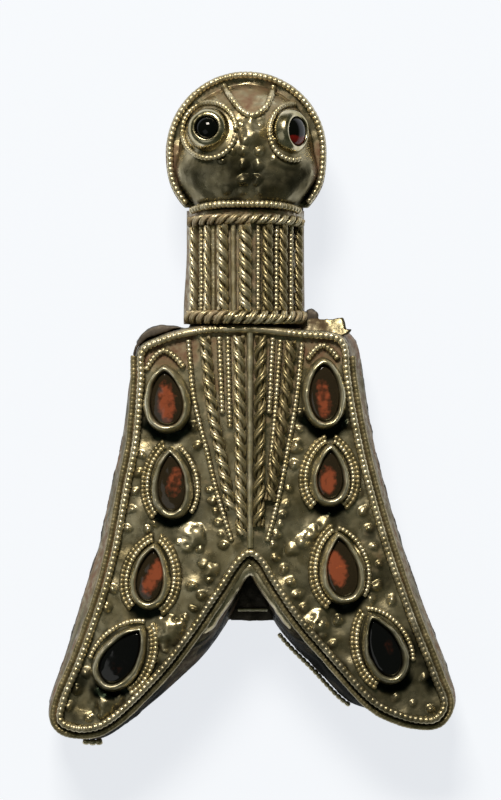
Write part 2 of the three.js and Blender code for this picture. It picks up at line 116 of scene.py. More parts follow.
def add_node(tree: Tree, kind: str, feeds: dict | None = None, **settings) -> bpy.types.Node:
    """Adds a node with its settings and links.

    Args:
        tree: the tree it goes into.
        kind: the node's type.
        feeds: for an input's name or number, a plain value or the output it is linked from.
        settings: the node's own properties.
    Returns:
        The node.
    """
    made = tree.nodes.new(kind)
    for name, value in settings.items():
        setattr(made, name, value)
    for key, value in (feeds or {}).items():
        for one in value if isinstance(value, list) else [value]:
            if isinstance(one, Socket):
                tree.links.new(one, made.inputs[key])
            else:
                made.inputs[key].default_value = one
    return made


def wired(tree: Tree, kind: str, feeds: dict | None = None, output: int | str = 0, **settings) -> Socket:
    """Adds a node and gives one of its outputs.

    Args:
        tree: the tree it goes into.
        kind: the node's type.
        feeds: what its inputs are given.
        output: the output's name or number.
        settings: the node's own properties.
    Returns:
        The output.
    """
    return add_node(tree, kind, feeds, **settings).outputs[output]


def calc(tree: Tree, operation: str, *values: object) -> Socket:
    """Adds a math node.

    Args:
        tree: the tree it goes into.
        operation: what it works out.
        values: numbers or outputs, in the order of its inputs.
    Returns:
        Its output.
    """
    return wired(tree, "ShaderNodeMath", dict(enumerate(values)), operation=operation)


def remap(
    tree: Tree, value: Socket, start: float, end: float, low: float = 0.0, high: float = 1.0
) -> Socket:
    """Adds a node that turns one range of numbers into another and stops at its ends.

    Args:
        tree: the tree it goes into.
        value: the output it reads.
        start: what becomes low.
        end: what becomes high.
        low: the new range's start.
        high: the new range's end.
    Returns:
        Its output.
    """
    feeds = {"Value": value, "From Min": start, "From Max": end, "To Min": low, "To Max": high}
    return wired(tree, "ShaderNodeMapRange", feeds)


def blend(tree: Tree, share: Socket, first: object, second: object) -> Socket:
    """Adds a node that mixes two colours.

    Args:
        tree: the tree it goes into.
        share: how much of the second is in the mixture.
        first: a colour or the output that gives it.
        second: a colour or the output that gives it.
    Returns:
        The mixed colour's output.
    """
    return wired(tree, "ShaderNodeMix", {0: share, 6: first, 7: second}, data_type="RGBA", output=2)


def cloud(tree: Tree, size: float, detail: float) -> Socket:
    """Adds a noise texture on the object's own coordinates.

    Args:
        tree: the material's tree.
        size: distance between its patches in mm.
        detail: how many finer layers it has.
    Returns:
        The output of its strength.
    """
    place = wired(tree, "ShaderNodeTexCoord", output="Object")
    feeds = {"Vector": place, "Scale": 1 / (size * MM), "Detail": detail}
    return wired(tree, "ShaderNodeTexNoise", feeds, output="Fac")


def point_mark(tree: Tree, name: str) -> Socket:
    """Adds a node that reads a mark of the mesh, and returns its output."""
    return wired(tree, "ShaderNodeAttribute", attribute_name=name, output="Fac")


def new_material(name: str) -> tuple[Material, Tree, bpy.types.ShaderNode]:
    """Makes a material and returns it with its tree and its shader."""
    material = bpy.data.materials.new(name)
    material.use_nodes = True
    return material, material.node_tree, material.node_tree.nodes["Principled BSDF"]


def ramp(tree: Tree, share: Socket, *stops: tuple[float, str]) -> Socket:
    """Adds a colour ramp.

    Args:
        tree: the tree it goes into.
        share: the output it reads.
        stops: places and sRGB hex colours, from the lowest place up.
    Returns:
        The colour's output.
    """
    made = add_node(tree, "ShaderNodeValToRGB", {"Fac": share})
    kept = made.color_ramp.elements
    while len(kept) < len(stops):
        kept.new(0.5)
    for stop, (at, colour) in zip(kept, stops):
        stop.position, stop.color = at, linear(colour)
    return made.outputs[0]


class Noise:
    """Seeded smooth noise in space, between about -1 and 1."""

    CELLS = 32

    def __init__(self, seed: int) -> None:
        """Draws the table of random numbers.

        Args:
            seed: picks the pattern.
        """
        self.table = np.random.default_rng(seed).uniform(-1, 1, (self.CELLS,) * 3)

    def at(self, points: Array, size: float, octaves: int = 1) -> Array:
        """The noise at some points.

        Args:
            points: one row of x, y, z each.
            size: distance between neighbouring bumps.
            octaves: finer layers, each half as strong.
        Returns:
            One value a point.
        """
        total = np.zeros(len(points))
        for octave in range(octaves):
            place = points * (2**octave / size) + 5.3 * octave
            cell = np.floor(place).astype(int)
            part = place - cell
            part = part * part * (3 - 2 * part)
            for corner in product((0, 1), repeat=3):
                weight = np.prod(np.where(corner, part, 1 - part), axis=1)
                i, j, k = ((cell + corner) % self.CELLS).T
                total += weight * self.table[i, j, k] / 2**octave
        return total


def smooth_path(points: Sequence[Sequence[float]], step: float, closed: bool = False) -> Array:
    """Evenly spaced points along a centripetal Catmull-Rom curve.

    Args:
        points: what the curve passes through.
        step: distance between the points returned.
        closed: joins the last point to the first.
    Returns:
        One row a point.
    """
    knots = np.asarray(points, float)
    if closed:
        knots = np.vstack([knots[-1], knots, knots[:2]])
    else:
        knots = np.vstack([2 * knots[0] - knots[1], knots, 2 * knots[-1] - knots[-2]])
    t = np.linspace(0, 1, 24, endpoint=False)[:, None]
    pieces = []
    for p0, p1, p2, p3 in zip(knots, knots[1:], knots[2:], knots[3:]):
        gaps = ((p0, p1), (p1, p2), (p2, p3))
        d0, d1, d2 = (max(1e-4, math.sqrt(np.linalg.norm(b - a))) for a, b in gaps)
        m1 = ((p1 - p0) / d0 - (p2 - p0) / (d0 + d1) + (p2 - p1) / d1) * d1
        m2 = ((p2 - p1) / d1 - (p3 - p1) / (d1 + d2) + (p3 - p2) / d2) * d1
        pieces.append(
            p1
            + m1 * t
            + (3 * (p2 - p1) - 2 * m1 - m2) * t**2
            + (2 * (p1 - p2) + m1 + m2) * t**3
        )
    fine = np.vstack(pieces + [knots[-2][None]])
    along = np.concatenate([[0], np.cumsum(np.linalg.norm(np.diff(fine[:, :2], axis=0), axis=1))])
    count = max(3, round(along[-1] / step) + 1)
    stops = np.linspace(0, along[-1], count)[: count - 1 if closed else count]
    return np.column_stack([np.interp(stops, along, column) for column in fine.T])


def distance_to(points: Array, path: Array) -> Array:
    """How far points are, in plan, from the nearest point of a path.

    Args:
        points: rows that begin with x, y.
        path: rows that begin with x, y.
    Returns:
        One distance a point.
    """
    best = np.full(len(points), np.inf)
    for x, y in path[:, :2]:
        best = np.minimum(best, (points[:, 0] - x) ** 2 + (points[:, 1] - y) ** 2)
    return np.sqrt(best)


def level(plan: Array, height: float | Array) -> Array:
    """Puts points of a plan at a height."""
    return np.column_stack([plan, np.broadcast_to(height, len(plan))])


def fade(value: Array, start: float, end: float) -> Array:
    """A smooth step from 0 at start to 1 at end."""
    part = np.clip((value - start) / (end - start), 0, 1)
    return part * part * (3 - 2 * part)


@dataclass
class Shell:
    """Points, faces and marks of a mesh in the making.

    A mark is a number a point, which the finish reads, such as how much soil lies there.
    """

    points: list[Array] = field(default_factory=list)
    faces: list[tuple[int, ...]] = field(default_factory=list)
    marks: dict[str, list[Array]] = field(default_factory=dict)

    def add(self, points: Array, faces: Iterable[Sequence[int]], **marks: Array) -> int:
        """Adds a patch.

        Args:
            points: its points.
            faces: its faces, counted from its own first point.
            marks: its marks.
        Returns:
            The number of its first point.
        """
        first = sum(len(p) for p in self.points)
        for name in {*self.marks, *marks}:
            kept = self.marks.setdefault(name, [np.zeros(first)] if first else [])
            kept.append(np.broadcast_to(marks.get(name, 0.0), len(points)))
        self.points.append(points)
        self.faces += [tuple(first + int(i) for i in face) for face in faces]
        return first

    def rings(
        self, rings: Array, tube: bool = False, low: bool = True, high: bool = True, **marks: Array
    ) -> int:
        """Adds a skin through equal rings, each anticlockwise seen from the last one's side.

        Args:
            rings: an array of rings by points by x, y, z.
            tube: joins the last ring to the first.
            low: closes the first ring.
            high: closes the last ring.
            marks: marks in the same order.
        Returns:
            The number of its first point.
        """
        layers, count = rings.shape[:2]
        here = np.arange(count)
        ahead = np.roll(here, -1)
        faces = []
        for layer in range(layers if tube else layers - 1):
            a, b = layer * count, (layer + 1) % layers * count
            faces += np.column_stack([a + here, a + ahead, b + ahead, b + here]).tolist()
        if not tube and low:
            faces.append(list(range(count))[::-1])
        if not tube and high:
            faces.append([(layers - 1) * count + i for i in range(count)])
        flat = {name: np.ravel(values) for name, values in marks.items()}
        return self.add(rings.reshape(-1, 3), faces, **flat)

    def build(self, name: str, finish: Material) -> Piece:
        """Makes the object.

        Args:
            name: its name.
            finish: its material.
        Returns:
            The object, with its place in its mesh.
        """
        mesh = bpy.data.meshes.new(name)
        points = (np.vstack(self.points) + (AXIS, 0, 0)) * MM
        mesh.from_pydata(points.tolist(), [], self.faces)
        for mark, values in self.marks.items():
            mesh.attributes.new(mark, "FLOAT", "POINT").data.foreach_set("value", np.concatenate(values))
        mesh.shade_smooth()
        mesh.materials.append(finish)
        return show(bpy.data.objects.new(name, mesh))


def show(obj: Piece) -> Piece:
    """Puts an object into the scene and returns it."""
    bpy.context.scene.collection.objects.link(obj)
    return obj


def hand_over(obj: Piece, nodes: Sequence[str], body: Body = Body.BROOCH) -> None:
    """Parents a finished piece to its body and hides the CAD nodes it replaces.

    Args:
        obj: the piece.
        nodes: the CAD nodes it replaces.
        body: the body it moves with.
    """
    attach(obj, body.value)
    if nodes:
        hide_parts(*nodes)
    log.info("%s: %d faces", obj.name, len(obj.data.polygons))


def node_copy(
    name: str, node: str, finish: Material, modifiers: dict[str, dict]
) -> Piece:
    """A merged copy of a CAD node, worked over by modifiers.

    Args:
        name: the new object's name.
        node: the CAD node.
        finish: its material.
        modifiers: modifier types and their settings, in order.
    Returns:
        The object as a plain mesh.
    """
    draft = bpy.data.meshes.new(name + "_draft")
    cage = bmesh.new()
    cage.from_mesh(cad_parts[node].data)
    bmesh.ops.remove_doubles(cage, verts=cage.verts, dist=1e-6)
    bmesh.ops.dissolve_limit(cage, angle_limit=0.01, verts=cage.verts, edges=cage.edges)
    cage.to_mesh(draft)
    cage.free()
    stand_in = show(bpy.data.objects.new(name + "_draft", draft))
    for kind, settings in modifiers.items():
        modifier = stand_in.modifiers.new(kind, kind)
        for key, value in settings.items():
            setattr(modifier, key, value)
    graph = bpy.context.evaluated_depsgraph_get()
    mesh = bpy.data.meshes.new_from_object(stand_in.evaluated_get(graph), depsgraph=graph)
    bpy.data.objects.remove(stand_in)
    mesh.name = name
    mesh.materials.clear()
    mesh.materials.append(finish)
    mesh.shade_smooth()
    return show(bpy.data.objects.new(name, mesh))


def roughen(obj: Piece, depth: Callable[[Array], Array]) -> None:
    """Moves a mesh's points along their normals.

    Args:
        obj: the piece.
        depth: gives how far, in mm, at points in mm from the midrib.
    """
    mesh = obj.data
    flat = np.empty(len(mesh.vertices) * 3)
    mesh.vertices.foreach_get("co", flat)
    places = flat.reshape(-1, 3)
    normals = np.empty(len(mesh.vertices) * 3, np.float32)
    mesh.vertex_normals.foreach_get("vector", normals)
    moved = places + normals.reshape(-1, 3) * (depth(places / MM - (AXIS, 0, 0)) * MM)[:, None]
    mesh.vertices.foreach_set("co", moved.ravel())
    mesh.update()


# ---------------------------------------------------------------------------- finishes


@dataclass(frozen=True)
class WornMetal:
    """An old metal surface: patches of tone, dark hollows and soil in places, with painted shade on flanks
    that face sideways and a near-black mark that paints shade and grime.
    """

    name: str
    bright: str  # the palest patches
    body: str  # the tone between them
    deep: str  # hollows
    soil: str
    smooth: float  # the least roughness
    rough: float  # the greatest roughness
    patch: float  # size of the patches of tone, in mm
    grain: float  # size of the fine marks, in mm
    grain_depth: float  # their depth, in mm
    side: str = "#5a5232"  # painted shade: colour of the flanks that face sideways
    # painted shade and grime: near-black colour of painted shadows, of faces turned from the light, and of
    # grime
    grime: str = "#161c15"
    steep: tuple = (0.1, 0.62)  # upward part of the normal, from a flank with painted shade to a top without it
    metallic: float = 1.0

    TONES = (0.36, 0.66)  # where the two tones lie in the noise
    HOLLOWS = (0.44, 0.52)  # pointiness, from a hollow to a flat place
    CRUMB = 0.7  # size of the soil's crumbs, in mm
    STAINED = (0.75, 1.25)  # soil and crumbs together, from clean to covered
    SOIL_ROUGHNESS = 0.8
    SOIL_METAL = 0.15
    SHINE = (0.5, 0.08)  # specular level of clean metal and under the painted shade and grime
    DIM = (0.02, 0.035, 0.025, 1.0)  # what is left of the edge-on reflection under the painted shade and grime

    def build(self) -> Material:
        """Returns the material."""
        material, tree, shader = new_material(self.name)
        tones = ramp(tree, cloud(tree, self.patch, 5.0), *zip(self.TONES, (self.body, self.bright)))
        surface = add_node(tree, "ShaderNodeNewGeometry").outputs
        top = blend(tree, remap(tree, surface["Pointiness"], *self.HOLLOWS), linear(self.deep), tones)
        # painted shade: flanks that face sideways take the darker side colour
        upward = wired(tree, "ShaderNodeSeparateXYZ", {0: surface["Normal"]}, output="Z")
        clean = blend(tree, remap(tree, upward, *self.steep), linear(self.side), top)
        crumbs = cloud(tree, self.CRUMB, 6.0)
        dirty = remap(tree, calc(tree, "ADD", point_mark(tree, "soil"), crumbs), *self.STAINED)
        # painted shade and grime: this mark blackens the colour and dims the reflection
        black = point_mark(tree, "grime")
        soiled = blend(tree, dirty, clean, linear(self.soil))
        shine = remap(tree, crumbs, 0.3, 0.7, self.smooth, self.rough)
        dull = wired(tree, "ShaderNodeMix", {0: dirty, 2: shine, 3: self.SOIL_ROUGHNESS})
        bump = {"Height": cloud(tree, self.grain, 3.0), "Distance": self.grain_depth * MM}
        for name, output in {
            "Base Color": blend(tree, black, soiled, linear(self.grime)),
            "Roughness": dull,
            "Metallic": remap(tree, dirty, 0.0, 1.0, self.metallic, self.SOIL_METAL),
            "Specular IOR Level": remap(tree, black, 0.0, 1.0, *self.SHINE),
            "Specular Tint": blend(tree, black, (1.0, 1.0, 1.0, 1.0), self.DIM),
            "Normal": wired(tree, "ShaderNodeBump", bump),
        }.items():
            tree.links.new(output, shader.inputs[name])
        return material


@dataclass(frozen=True)
class CutGarnet:
    """A flat polished garnet: clear and nearly black, brick red where its bed shows through."""

    name: str
    glow: str  # the bed, where light comes back from it
    haze: str  # round the glow
    depth: str  # the rest
    clear: float = 0.22  # share of light that passes through
    sheen: float = 0.5  # strength of the reflection

    CLOUD = 0.5  # size of the mottling, in mm
    LIT = (0.55, 1.35)  # glow and mottling together, from the depth to the glow
    STOPS = (0.34, 0.56, 0.8)

    def build(self) -> Material:
        """Returns the material."""
        material, tree, shader = new_material(self.name)
        lit = remap(tree, calc(tree, "ADD", point_mark(tree, "glow"), cloud(tree, self.CLOUD, 6.0)), *self.LIT)
        bed = ramp(tree, lit, *zip(self.STOPS, (self.depth, self.haze, self.glow)))
        tree.links.new(bed, shader.inputs["Base Color"])
        for name, value in {
            "Roughness": 0.06,
            "IOR": 1.62,
            "Specular IOR Level": self.sheen,
            "Transmission Weight": self.clear,
        }.items():
            shader.inputs[name].default_value = value
        return material


class Palette:
    """Every finish of the brooch, built once."""

    def __init__(self) -> None:
        """Builds the materials."""
        # Gold beaten thin over the core: soft dents, brighter on top than on the flanks as painted shade,
        # brown in the hollows.
        self.sheet = WornMetal(
            "beaten_gold_sheet", "#ece0bc", "#b5a780", "#47462e", "#8a6850", 0.22, 0.4, 2.6, 0.4, 0.03,
            side="#74684a", metallic=0.84,
        ).build()
        # Drawn gold wire, rolled into beads: bright crests over dark grooves, the flanks darker as painted
        # shade.
        self.wire = WornMetal(
            "rolled_gold_wire", "#f8eccb", "#c8b98e", "#6b6242", "#8c7052", 0.28, 0.44, 1.1, 0.12, 0.006,
            side="#7a7048", metallic=0.78,
        ).build()
        # Painted shade: a darker, brown-green copy of the same wire, for wires on the right side, every second
        # surround wire and the cord along the walls.
        self.dull = WornMetal(
            "shaded_gold_wire", "#c4b58c", "#8f8460", "#4c4630", "#7d6248", 0.32, 0.5, 1.1, 0.12, 0.01,
            side="#5e563a", metallic=0.75,
        ).build()
        # Thick burnished collars: smooth, paler and greyer than the sheet.
        self.collar = WornMetal(
            "burnished_gold_collar", "#fbf3d8", "#cfc6a0", "#5c583e", "#6b5238", 0.28, 0.44, 1.2, 0.2, 0.012,
            side="#807a58", metallic=0.82,
        ).build()
        # Silver eaten by the ground: a grey-brown crust, hardly shining.
        self.core = WornMetal(
            "corroded_silver", "#7d746b", "#4c463f", "#232220", "#5a4536", 0.5, 0.75, 1.2, 0.18, 0.03,
            side="#3c3a30", metallic=0.5,
        ).build()
        # Tarnished silver wire and strap, filed smooth.
        self.pin = WornMetal(
            "tarnished_silver", "#a09a8f", "#77716a", "#3a3632", "#54463a", 0.34, 0.55, 1.5, 0.25, 0.01,
            side="#77716a",
        ).build()
        # The eyes' collars: the same gold, polished bright by wear.
        self.rim = WornMetal(
            "polished_gold_collar", "#f0e6c8", "#b5aa80", "#45432c", "#6b5238", 0.16, 0.32, 1.4, 0.2, 0.008,
            side="#6b6444",
        ).build()
        self.eye = CutGarnet("wine_garnet", "#8e2019", "#4a1512", "#0d0f0c", sheen=0.2).build()
        self.red = CutGarnet("red_garnet", "#bb6444", "#744430", "#3c3223").build()
        self.dark = CutGarnet("dark_garnet", "#4a2018", "#241512", "#0b0b0e").build()


# ------------------------------------------------------------------------- wire trees


class WireTrees:
    """The Geometry Nodes trees that turn a line into a beaded wire or a wound rope."""

    STEPS = 6  # points along a bead
    CREST = 0.42  # below 1 the beads are round, with narrow grooves
    TURN = 22  # points along one turn of a rope

    def __init__(self) -> None:
        """Builds both trees."""
        self.beads = self._beads()
        self.rope = self._rope()

    def _start(self, name: str, sizes: dict[str, float]) -> tuple[Tree, dict]:
        """Opens a tree.

        Args:
            name: the tree's name.
            sizes: named number inputs and their defaults.
        Returns:
            The tree, and its inputs by name.
        """
        tree = bpy.data.node_groups.new(name, "GeometryNodeTree")
        face = tree.interface
        face.new_socket("Line", in_out="INPUT", socket_type="NodeSocketGeometry")
        for key, value in sizes.items():
            kind = "NodeSocketInt" if isinstance(value, int) else "NodeSocketFloat"
            face.new_socket(key, in_out="INPUT", socket_type=kind).default_value = value
        face.new_socket("Finish", in_out="INPUT", socket_type="NodeSocketMaterial")
        face.new_socket("Wire", in_out="OUTPUT", socket_type="NodeSocketGeometry")
        given = add_node(tree, "NodeGroupInput").outputs
        return tree, {socket.name: socket for socket in given if socket.name}

    def _end(self, tree: Tree, parts: list, finish: Socket) -> None:
        """Joins, smooths and dresses the tree's parts, and closes the tree.

        Args:
            tree: the tree.
            parts: the outputs that give its parts.
            finish: the output that gives the material.
        """
        whole = wired(tree, "GeometryNodeJoinGeometry", {0: parts})
        soft = wired(tree, "GeometryNodeSetShadeSmooth", {"Geometry": whole})
        real = wired(tree, "GeometryNodeRealizeInstances", {"Geometry": soft})
        dressed = wired(tree, "GeometryNodeSetMaterial", {"Geometry": real, "Material": finish})
        add_node(tree, "NodeGroupOutput", {0: dressed})

    def _skin(
        self, tree: Tree, line: Socket, sides: Socket,
        radius: Socket, **more: Socket,
    ) -> Socket:
        """Adds a round skin along a line.

        Args:
            tree: the tree it goes into.
            line: the output that gives the line.
            sides: points round it.
            radius: its radius.
            more: further inputs of the node that makes it.
        Returns:
            The output that gives the skin.
        """
        circle = wired(tree, "GeometryNodeCurvePrimitiveCircle", {"Resolution": sides, "Radius": radius})
        feeds = {"Curve": line, "Profile Curve": circle, "Fill Caps": True, **more}
        return wired(tree, "GeometryNodeCurveToMesh", feeds)

    def _beads(self) -> Tree:
        """A round wire pinched into beads, with marks for wear and for thickness."""
        sizes = {
            "Radius": 0.0003, "Pitch": 0.0005, "Groove": 0.35, "Unevenness": 0.06, "Sides": 8, "Seed": 1,
        }
        tree, given = self._start("beaded_wire", sizes)
        work = partial(calc, tree)
        line = wired(tree, "GeometryNodeMeshToCurve", {"Mesh": given["Line"]})
        length = wired(tree, "GeometryNodeSplineLength", output="Length")
        whole = work("ROUND", work("DIVIDE", length, given["Pitch"]))
        count = work("MULTIPLY_ADD", whole, self.STEPS, 1.0)
        even = wired(tree, "GeometryNodeResampleCurve", {"Curve": line, "Count": count}, mode="COUNT")
        along = wired(tree, "GeometryNodeSplineParameter", output="Factor")
        bead = work("MULTIPLY", along, whole)
        wave = work("ABSOLUTE", work("SINE", work("MULTIPLY", bead, math.pi)))
        worn, thick = (
            wired(tree, "GeometryNodeInputNamedAttribute", {"Name": name}, data_type="FLOAT")
            for name in ("worn", "thick")
        )
        cut = work("SUBTRACT", 1.0, work("POWER", wave, self.CREST))
        cut = work("MULTIPLY", cut, work("SUBTRACT", 1.0, worn))
        waist = work("SUBTRACT", 1.0, work("MULTIPLY", cut, given["Groove"]))
        least = work("SUBTRACT", 1.0, given["Unevenness"])
        chance = {"Min": least, "ID": work("FLOOR", bead), "Seed": given["Seed"]}
        size = wired(tree, "FunctionNodeRandomValue", chance, output="Value")
        scale = work("MULTIPLY", work("MULTIPLY", waist, size), thick)
        wire = self._skin(tree, even, given["Sides"], given["Radius"], Scale=scale)
        self._end(tree, [wire], given["Finish"])
        return tree

    def _rope(self) -> Tree:
        """Two pairs of wires wound round a thinner core, the wires of a pair side by side."""
        sizes = {
            "Radius": 0.00055, "Strand": 0.00017, "Spacing": 0.0014, "Hand": 1.0, "Spread": 0.9, "Sides": 7,
        }
        tree, given = self._start("wound_rope", sizes)
        work = partial(calc, tree)
        line = wired(tree, "GeometryNodeMeshToCurve", {"Mesh": given["Line"]})
        lead = work("MULTIPLY", given["Spacing"], 2.0)
        step = work("DIVIDE", lead, self.TURN)
        even = wired(tree, "GeometryNodeResampleCurve", {"Curve": line, "Length": step}, mode="LENGTH")
        along = wired(tree, "GeometryNodeSplineParameter", output="Length")
        turns = work("MULTIPLY", work("DIVIDE", along, lead), given["Hand"])
        angle = work("MULTIPLY", turns, math.tau)
        out = work("SUBTRACT", given["Radius"], given["Strand"])
        normal = wired(tree, "GeometryNodeInputNormal", output="Normal")
        tangent = wired(tree, "GeometryNodeInputTangent")
        side = wired(tree, "ShaderNodeVectorMath", {0: tangent, 1: normal}, operation="CROSS_PRODUCT")
        parts = []
        for pair, which in product((0.0, math.pi), (-0.5, 0.5)):
            turn = work("ADD", work("MULTIPLY_ADD", given["Spread"], which, angle), pair)
            reach = {}
            for number, (operation, way) in enumerate((("COSINE", normal), ("SINE", side))):
                share = work("MULTIPLY", work(operation, turn), out)
                feeds = {0: way, "Scale": share}
                reach[number] = wired(tree, "ShaderNodeVectorMath", feeds, operation="SCALE")
            offset = wired(tree, "ShaderNodeVectorMath", reach, operation="ADD")
            coiled = wired(tree, "GeometryNodeSetPosition", {"Geometry": even, "Offset": offset})
            parts.append(self._skin(tree, coiled, given["Sides"], given["Strand"]))
        inner = work("SUBTRACT", out, given["Strand"])
        parts.append(self._skin(tree, even, given["Sides"], inner))
        self._end(tree, parts, given["Finish"])
        return tree

    def run(
        self,
        name: str,
        tree: Tree,
        lines: Sequence[Array],
        finish: Material,
        closed: bool = False,
        marks: dict[str, Array] | None = None,
        nodes: Sequence[str] = (),
        slot: Slot = Slot.WIRE,
        body: Body = Body.BROOCH,
        **sizes: float,
    ) -> None:
        """Runs a tree along some lines and hands over the wire as a plain mesh.

        Args:
            name: the piece's name.
            tree: one of the trees.
            lines: points in mm, one array a line.
            finish: the wire's material.
            closed: joins each line's ends.
            marks: numbers a point: worn, thick, soil, and the mark of painted shade and grime.
            nodes: the CAD nodes it replaces.
            slot: not used.
            body: the body it moves with.
            sizes: the tree's inputs, lengths in mm.
        """
        points, edges = np.vstack(lines), []
        first = 0
        for line in lines:
            edges += [(first + i, first + i + 1) for i in range(len(line) - 1)]
            if closed:
                edges.append((first + len(line) - 1, first))
            first += len(line)
        guide = bpy.data.meshes.new(name + "_line")
        guide.from_pydata(((points + (AXIS, 0, 0)) * MM).tolist(), edges, [])
        for mark, plain in (("worn", 0.0), ("thick", 1.0), ("soil", 0.0), ("grime", 0.0)):
            values = np.broadcast_to((marks or {}).get(mark, plain), len(points))
            guide.attributes.new(mark, "FLOAT", "POINT").data.foreach_set("value", np.array(values, float))
        stand_in = show(bpy.data.objects.new(name + "_line", guide))
        modifier = stand_in.modifiers.new("wire", "NODES")
        modifier.node_group = tree
        inputs = {
            item.name: item.identifier
            for item in tree.interface.items_tree
            if item.item_type == "SOCKET" and item.in_out == "INPUT"
        }
        modifier[inputs["Finish"]] = finish
        for key, value in sizes.items():
            length = key in ("Radius", "Pitch", "Strand", "Spacing")
            modifier[inputs[key]] = value * MM if length else value
        graph = bpy.context.evaluated_depsgraph_get()
        mesh = bpy.data.meshes.new_from_object(
            stand_in.evaluated_get(graph), preserve_all_data_layers=True, depsgraph=graph
        )
        mesh.name = name
        bpy.data.objects.remove(stand_in)
        hand_over(show(bpy.data.objects.new(name, mesh)), nodes, body)


# ------------------------------------------------------------------------ the wings


@dataclass
class Border:
    """The line of the border wire round the wing plate.

    Each station is x, y and how far the wall's foot stands outside, anticlockwise.
    """

    stations: tuple = (
        (-10.4, 5.5, 0.8), (-10.6, 2.7, 1.15), (-11.1, -3.4, 1.45), (-12.0, -8.0, 1.6),
        (-13.1, -13.9, 1.75), (-14.4, -18.7, 1.95), (-16.5, -24.5, 1.6), (-18.3, -29.0, 1.3),
        (-18.4, -30.5, 1.15), (-17.0, -31.2, 1.0), (-15.1, -31.1, 1.4), (-13.4, -30.2, 1.4),
        (-8.8, -25.7, 1.9), (-6.0, -22.1, 2.5), (-2.9, -17.5, 2.2), (-1.0, -14.7, 0.8),
        (0.0, -14.05, 0.6), (1.0, -14.7, 0.8), (2.2, -16.6, 1.6), (4.6, -20.2, 2.3),
        (7.9, -24.1, 2.05), (11.0, -27.6, 1.75), (12.3, -28.75, 1.0), (13.6, -29.5, 0.9),
        (16.0, -30.3, 0.95), (18.0, -30.3, 0.85), (18.9, -29.0, 1.2), (18.0, -26.3, 1.55),
        (15.6, -20.2, 1.6), (13.3, -13.6, 1.6), (11.3, -6.6, 1.55), (10.1, -1.2, 1.6),
        (9.4, 3.2, 1.65), (9.1, 6.0, 1.35), (8.4, 6.75, 1.1), (5.0, 7.1, 0.55), (0.0, 7.6, 0.5),
        (-4.9, 7.45, 0.5), (-8.6, 6.5, 0.6),
    )
    step: float = 0.2

    def __post_init__(self) -> None:
        """Works out the line, its flare and its outward directions."""
        self.line = smooth_path(self.stations, self.step, closed=True)
        ahead = np.roll(self.line, -1, axis=0) - np.roll(self.line, 1, axis=0)
        ahead = ahead[:, :2] / np.linalg.norm(ahead[:, :2], axis=1)[:, None]
        self.out = np.column_stack([ahead[:, 1], -ahead[:, 0]])

    def ring(self, spread: float, extra: float | Array) -> Array:
        """A line outside the border.

        Args:
            spread: share of the wall's flare that it stands out.
            extra: further distance out.
        Returns:
            Its x and y.
        """
        distance = self.line[:, 2] * spread + extra
        return self.line[:, :2] + self.out * distance[:, None]

    def stretch(self, start: float, end: float, count: int) -> Array:
        """A stretch of the line between two places.

        Args:
            start: its first place, counted in stations.
            end: its last place.
            count: places looked up on the way.
        Returns:
            The numbers of the line's rows.
        """
        whole = len(self.stations)
        places = np.array([s[:2] for s in self.stations + self.stations[:1]])
        wanted = np.linspace(start, end, count)
        spots = np.column_stack([np.interp(wanted, np.arange(whole + 1), places[:, k]) for k in (0, 1)])
        gaps = np.linalg.norm(self.line[None, :, :2] - spots[:, None], axis=2)
        return np.arange(gaps[0].argmin(), gaps[-1].argmin() + 1)


@dataclass
class PunchedRow:
    """A row of dots punched up from behind."""

    start: tuple[float, float]
    end: tuple[float, float]
    count: int = 2
    radius: float = 0.6
    steep: float = 0.58

    def places(self) -> Array:
        """The dots' places."""
        return np.linspace(self.start, self.end, self.count)


def raised(points: Array, rows: Sequence[PunchedRow], noise: Noise) -> Array:
    """How far punched dots lift a sheet.

    Args:
        points: places on the sheet.
        rows: the rows of dots.
        noise: makes the dots uneven.
    Returns:
        One height a point.
    """
    lift = np.zeros(len(points))
    places = level(points[:, :2], 5.0)
    for row in rows:
        for spot in row.places():
            vary = noise.at(np.array([[*spot, 3.0]]), 0.7)[0]
            wide = row.radius * (1 + 0.25 * vary)
            bent = 0.3 * row.radius * noise.at(places, 0.6)
            gap = np.hypot(points[:, 0] - spot[0] + bent, points[:, 1] - spot[1] + bent) / wide
            lift = np.maximum(lift, row.steep * wide * np.clip(1 - gap**2, 0, 1) ** 2.0)
    return lift


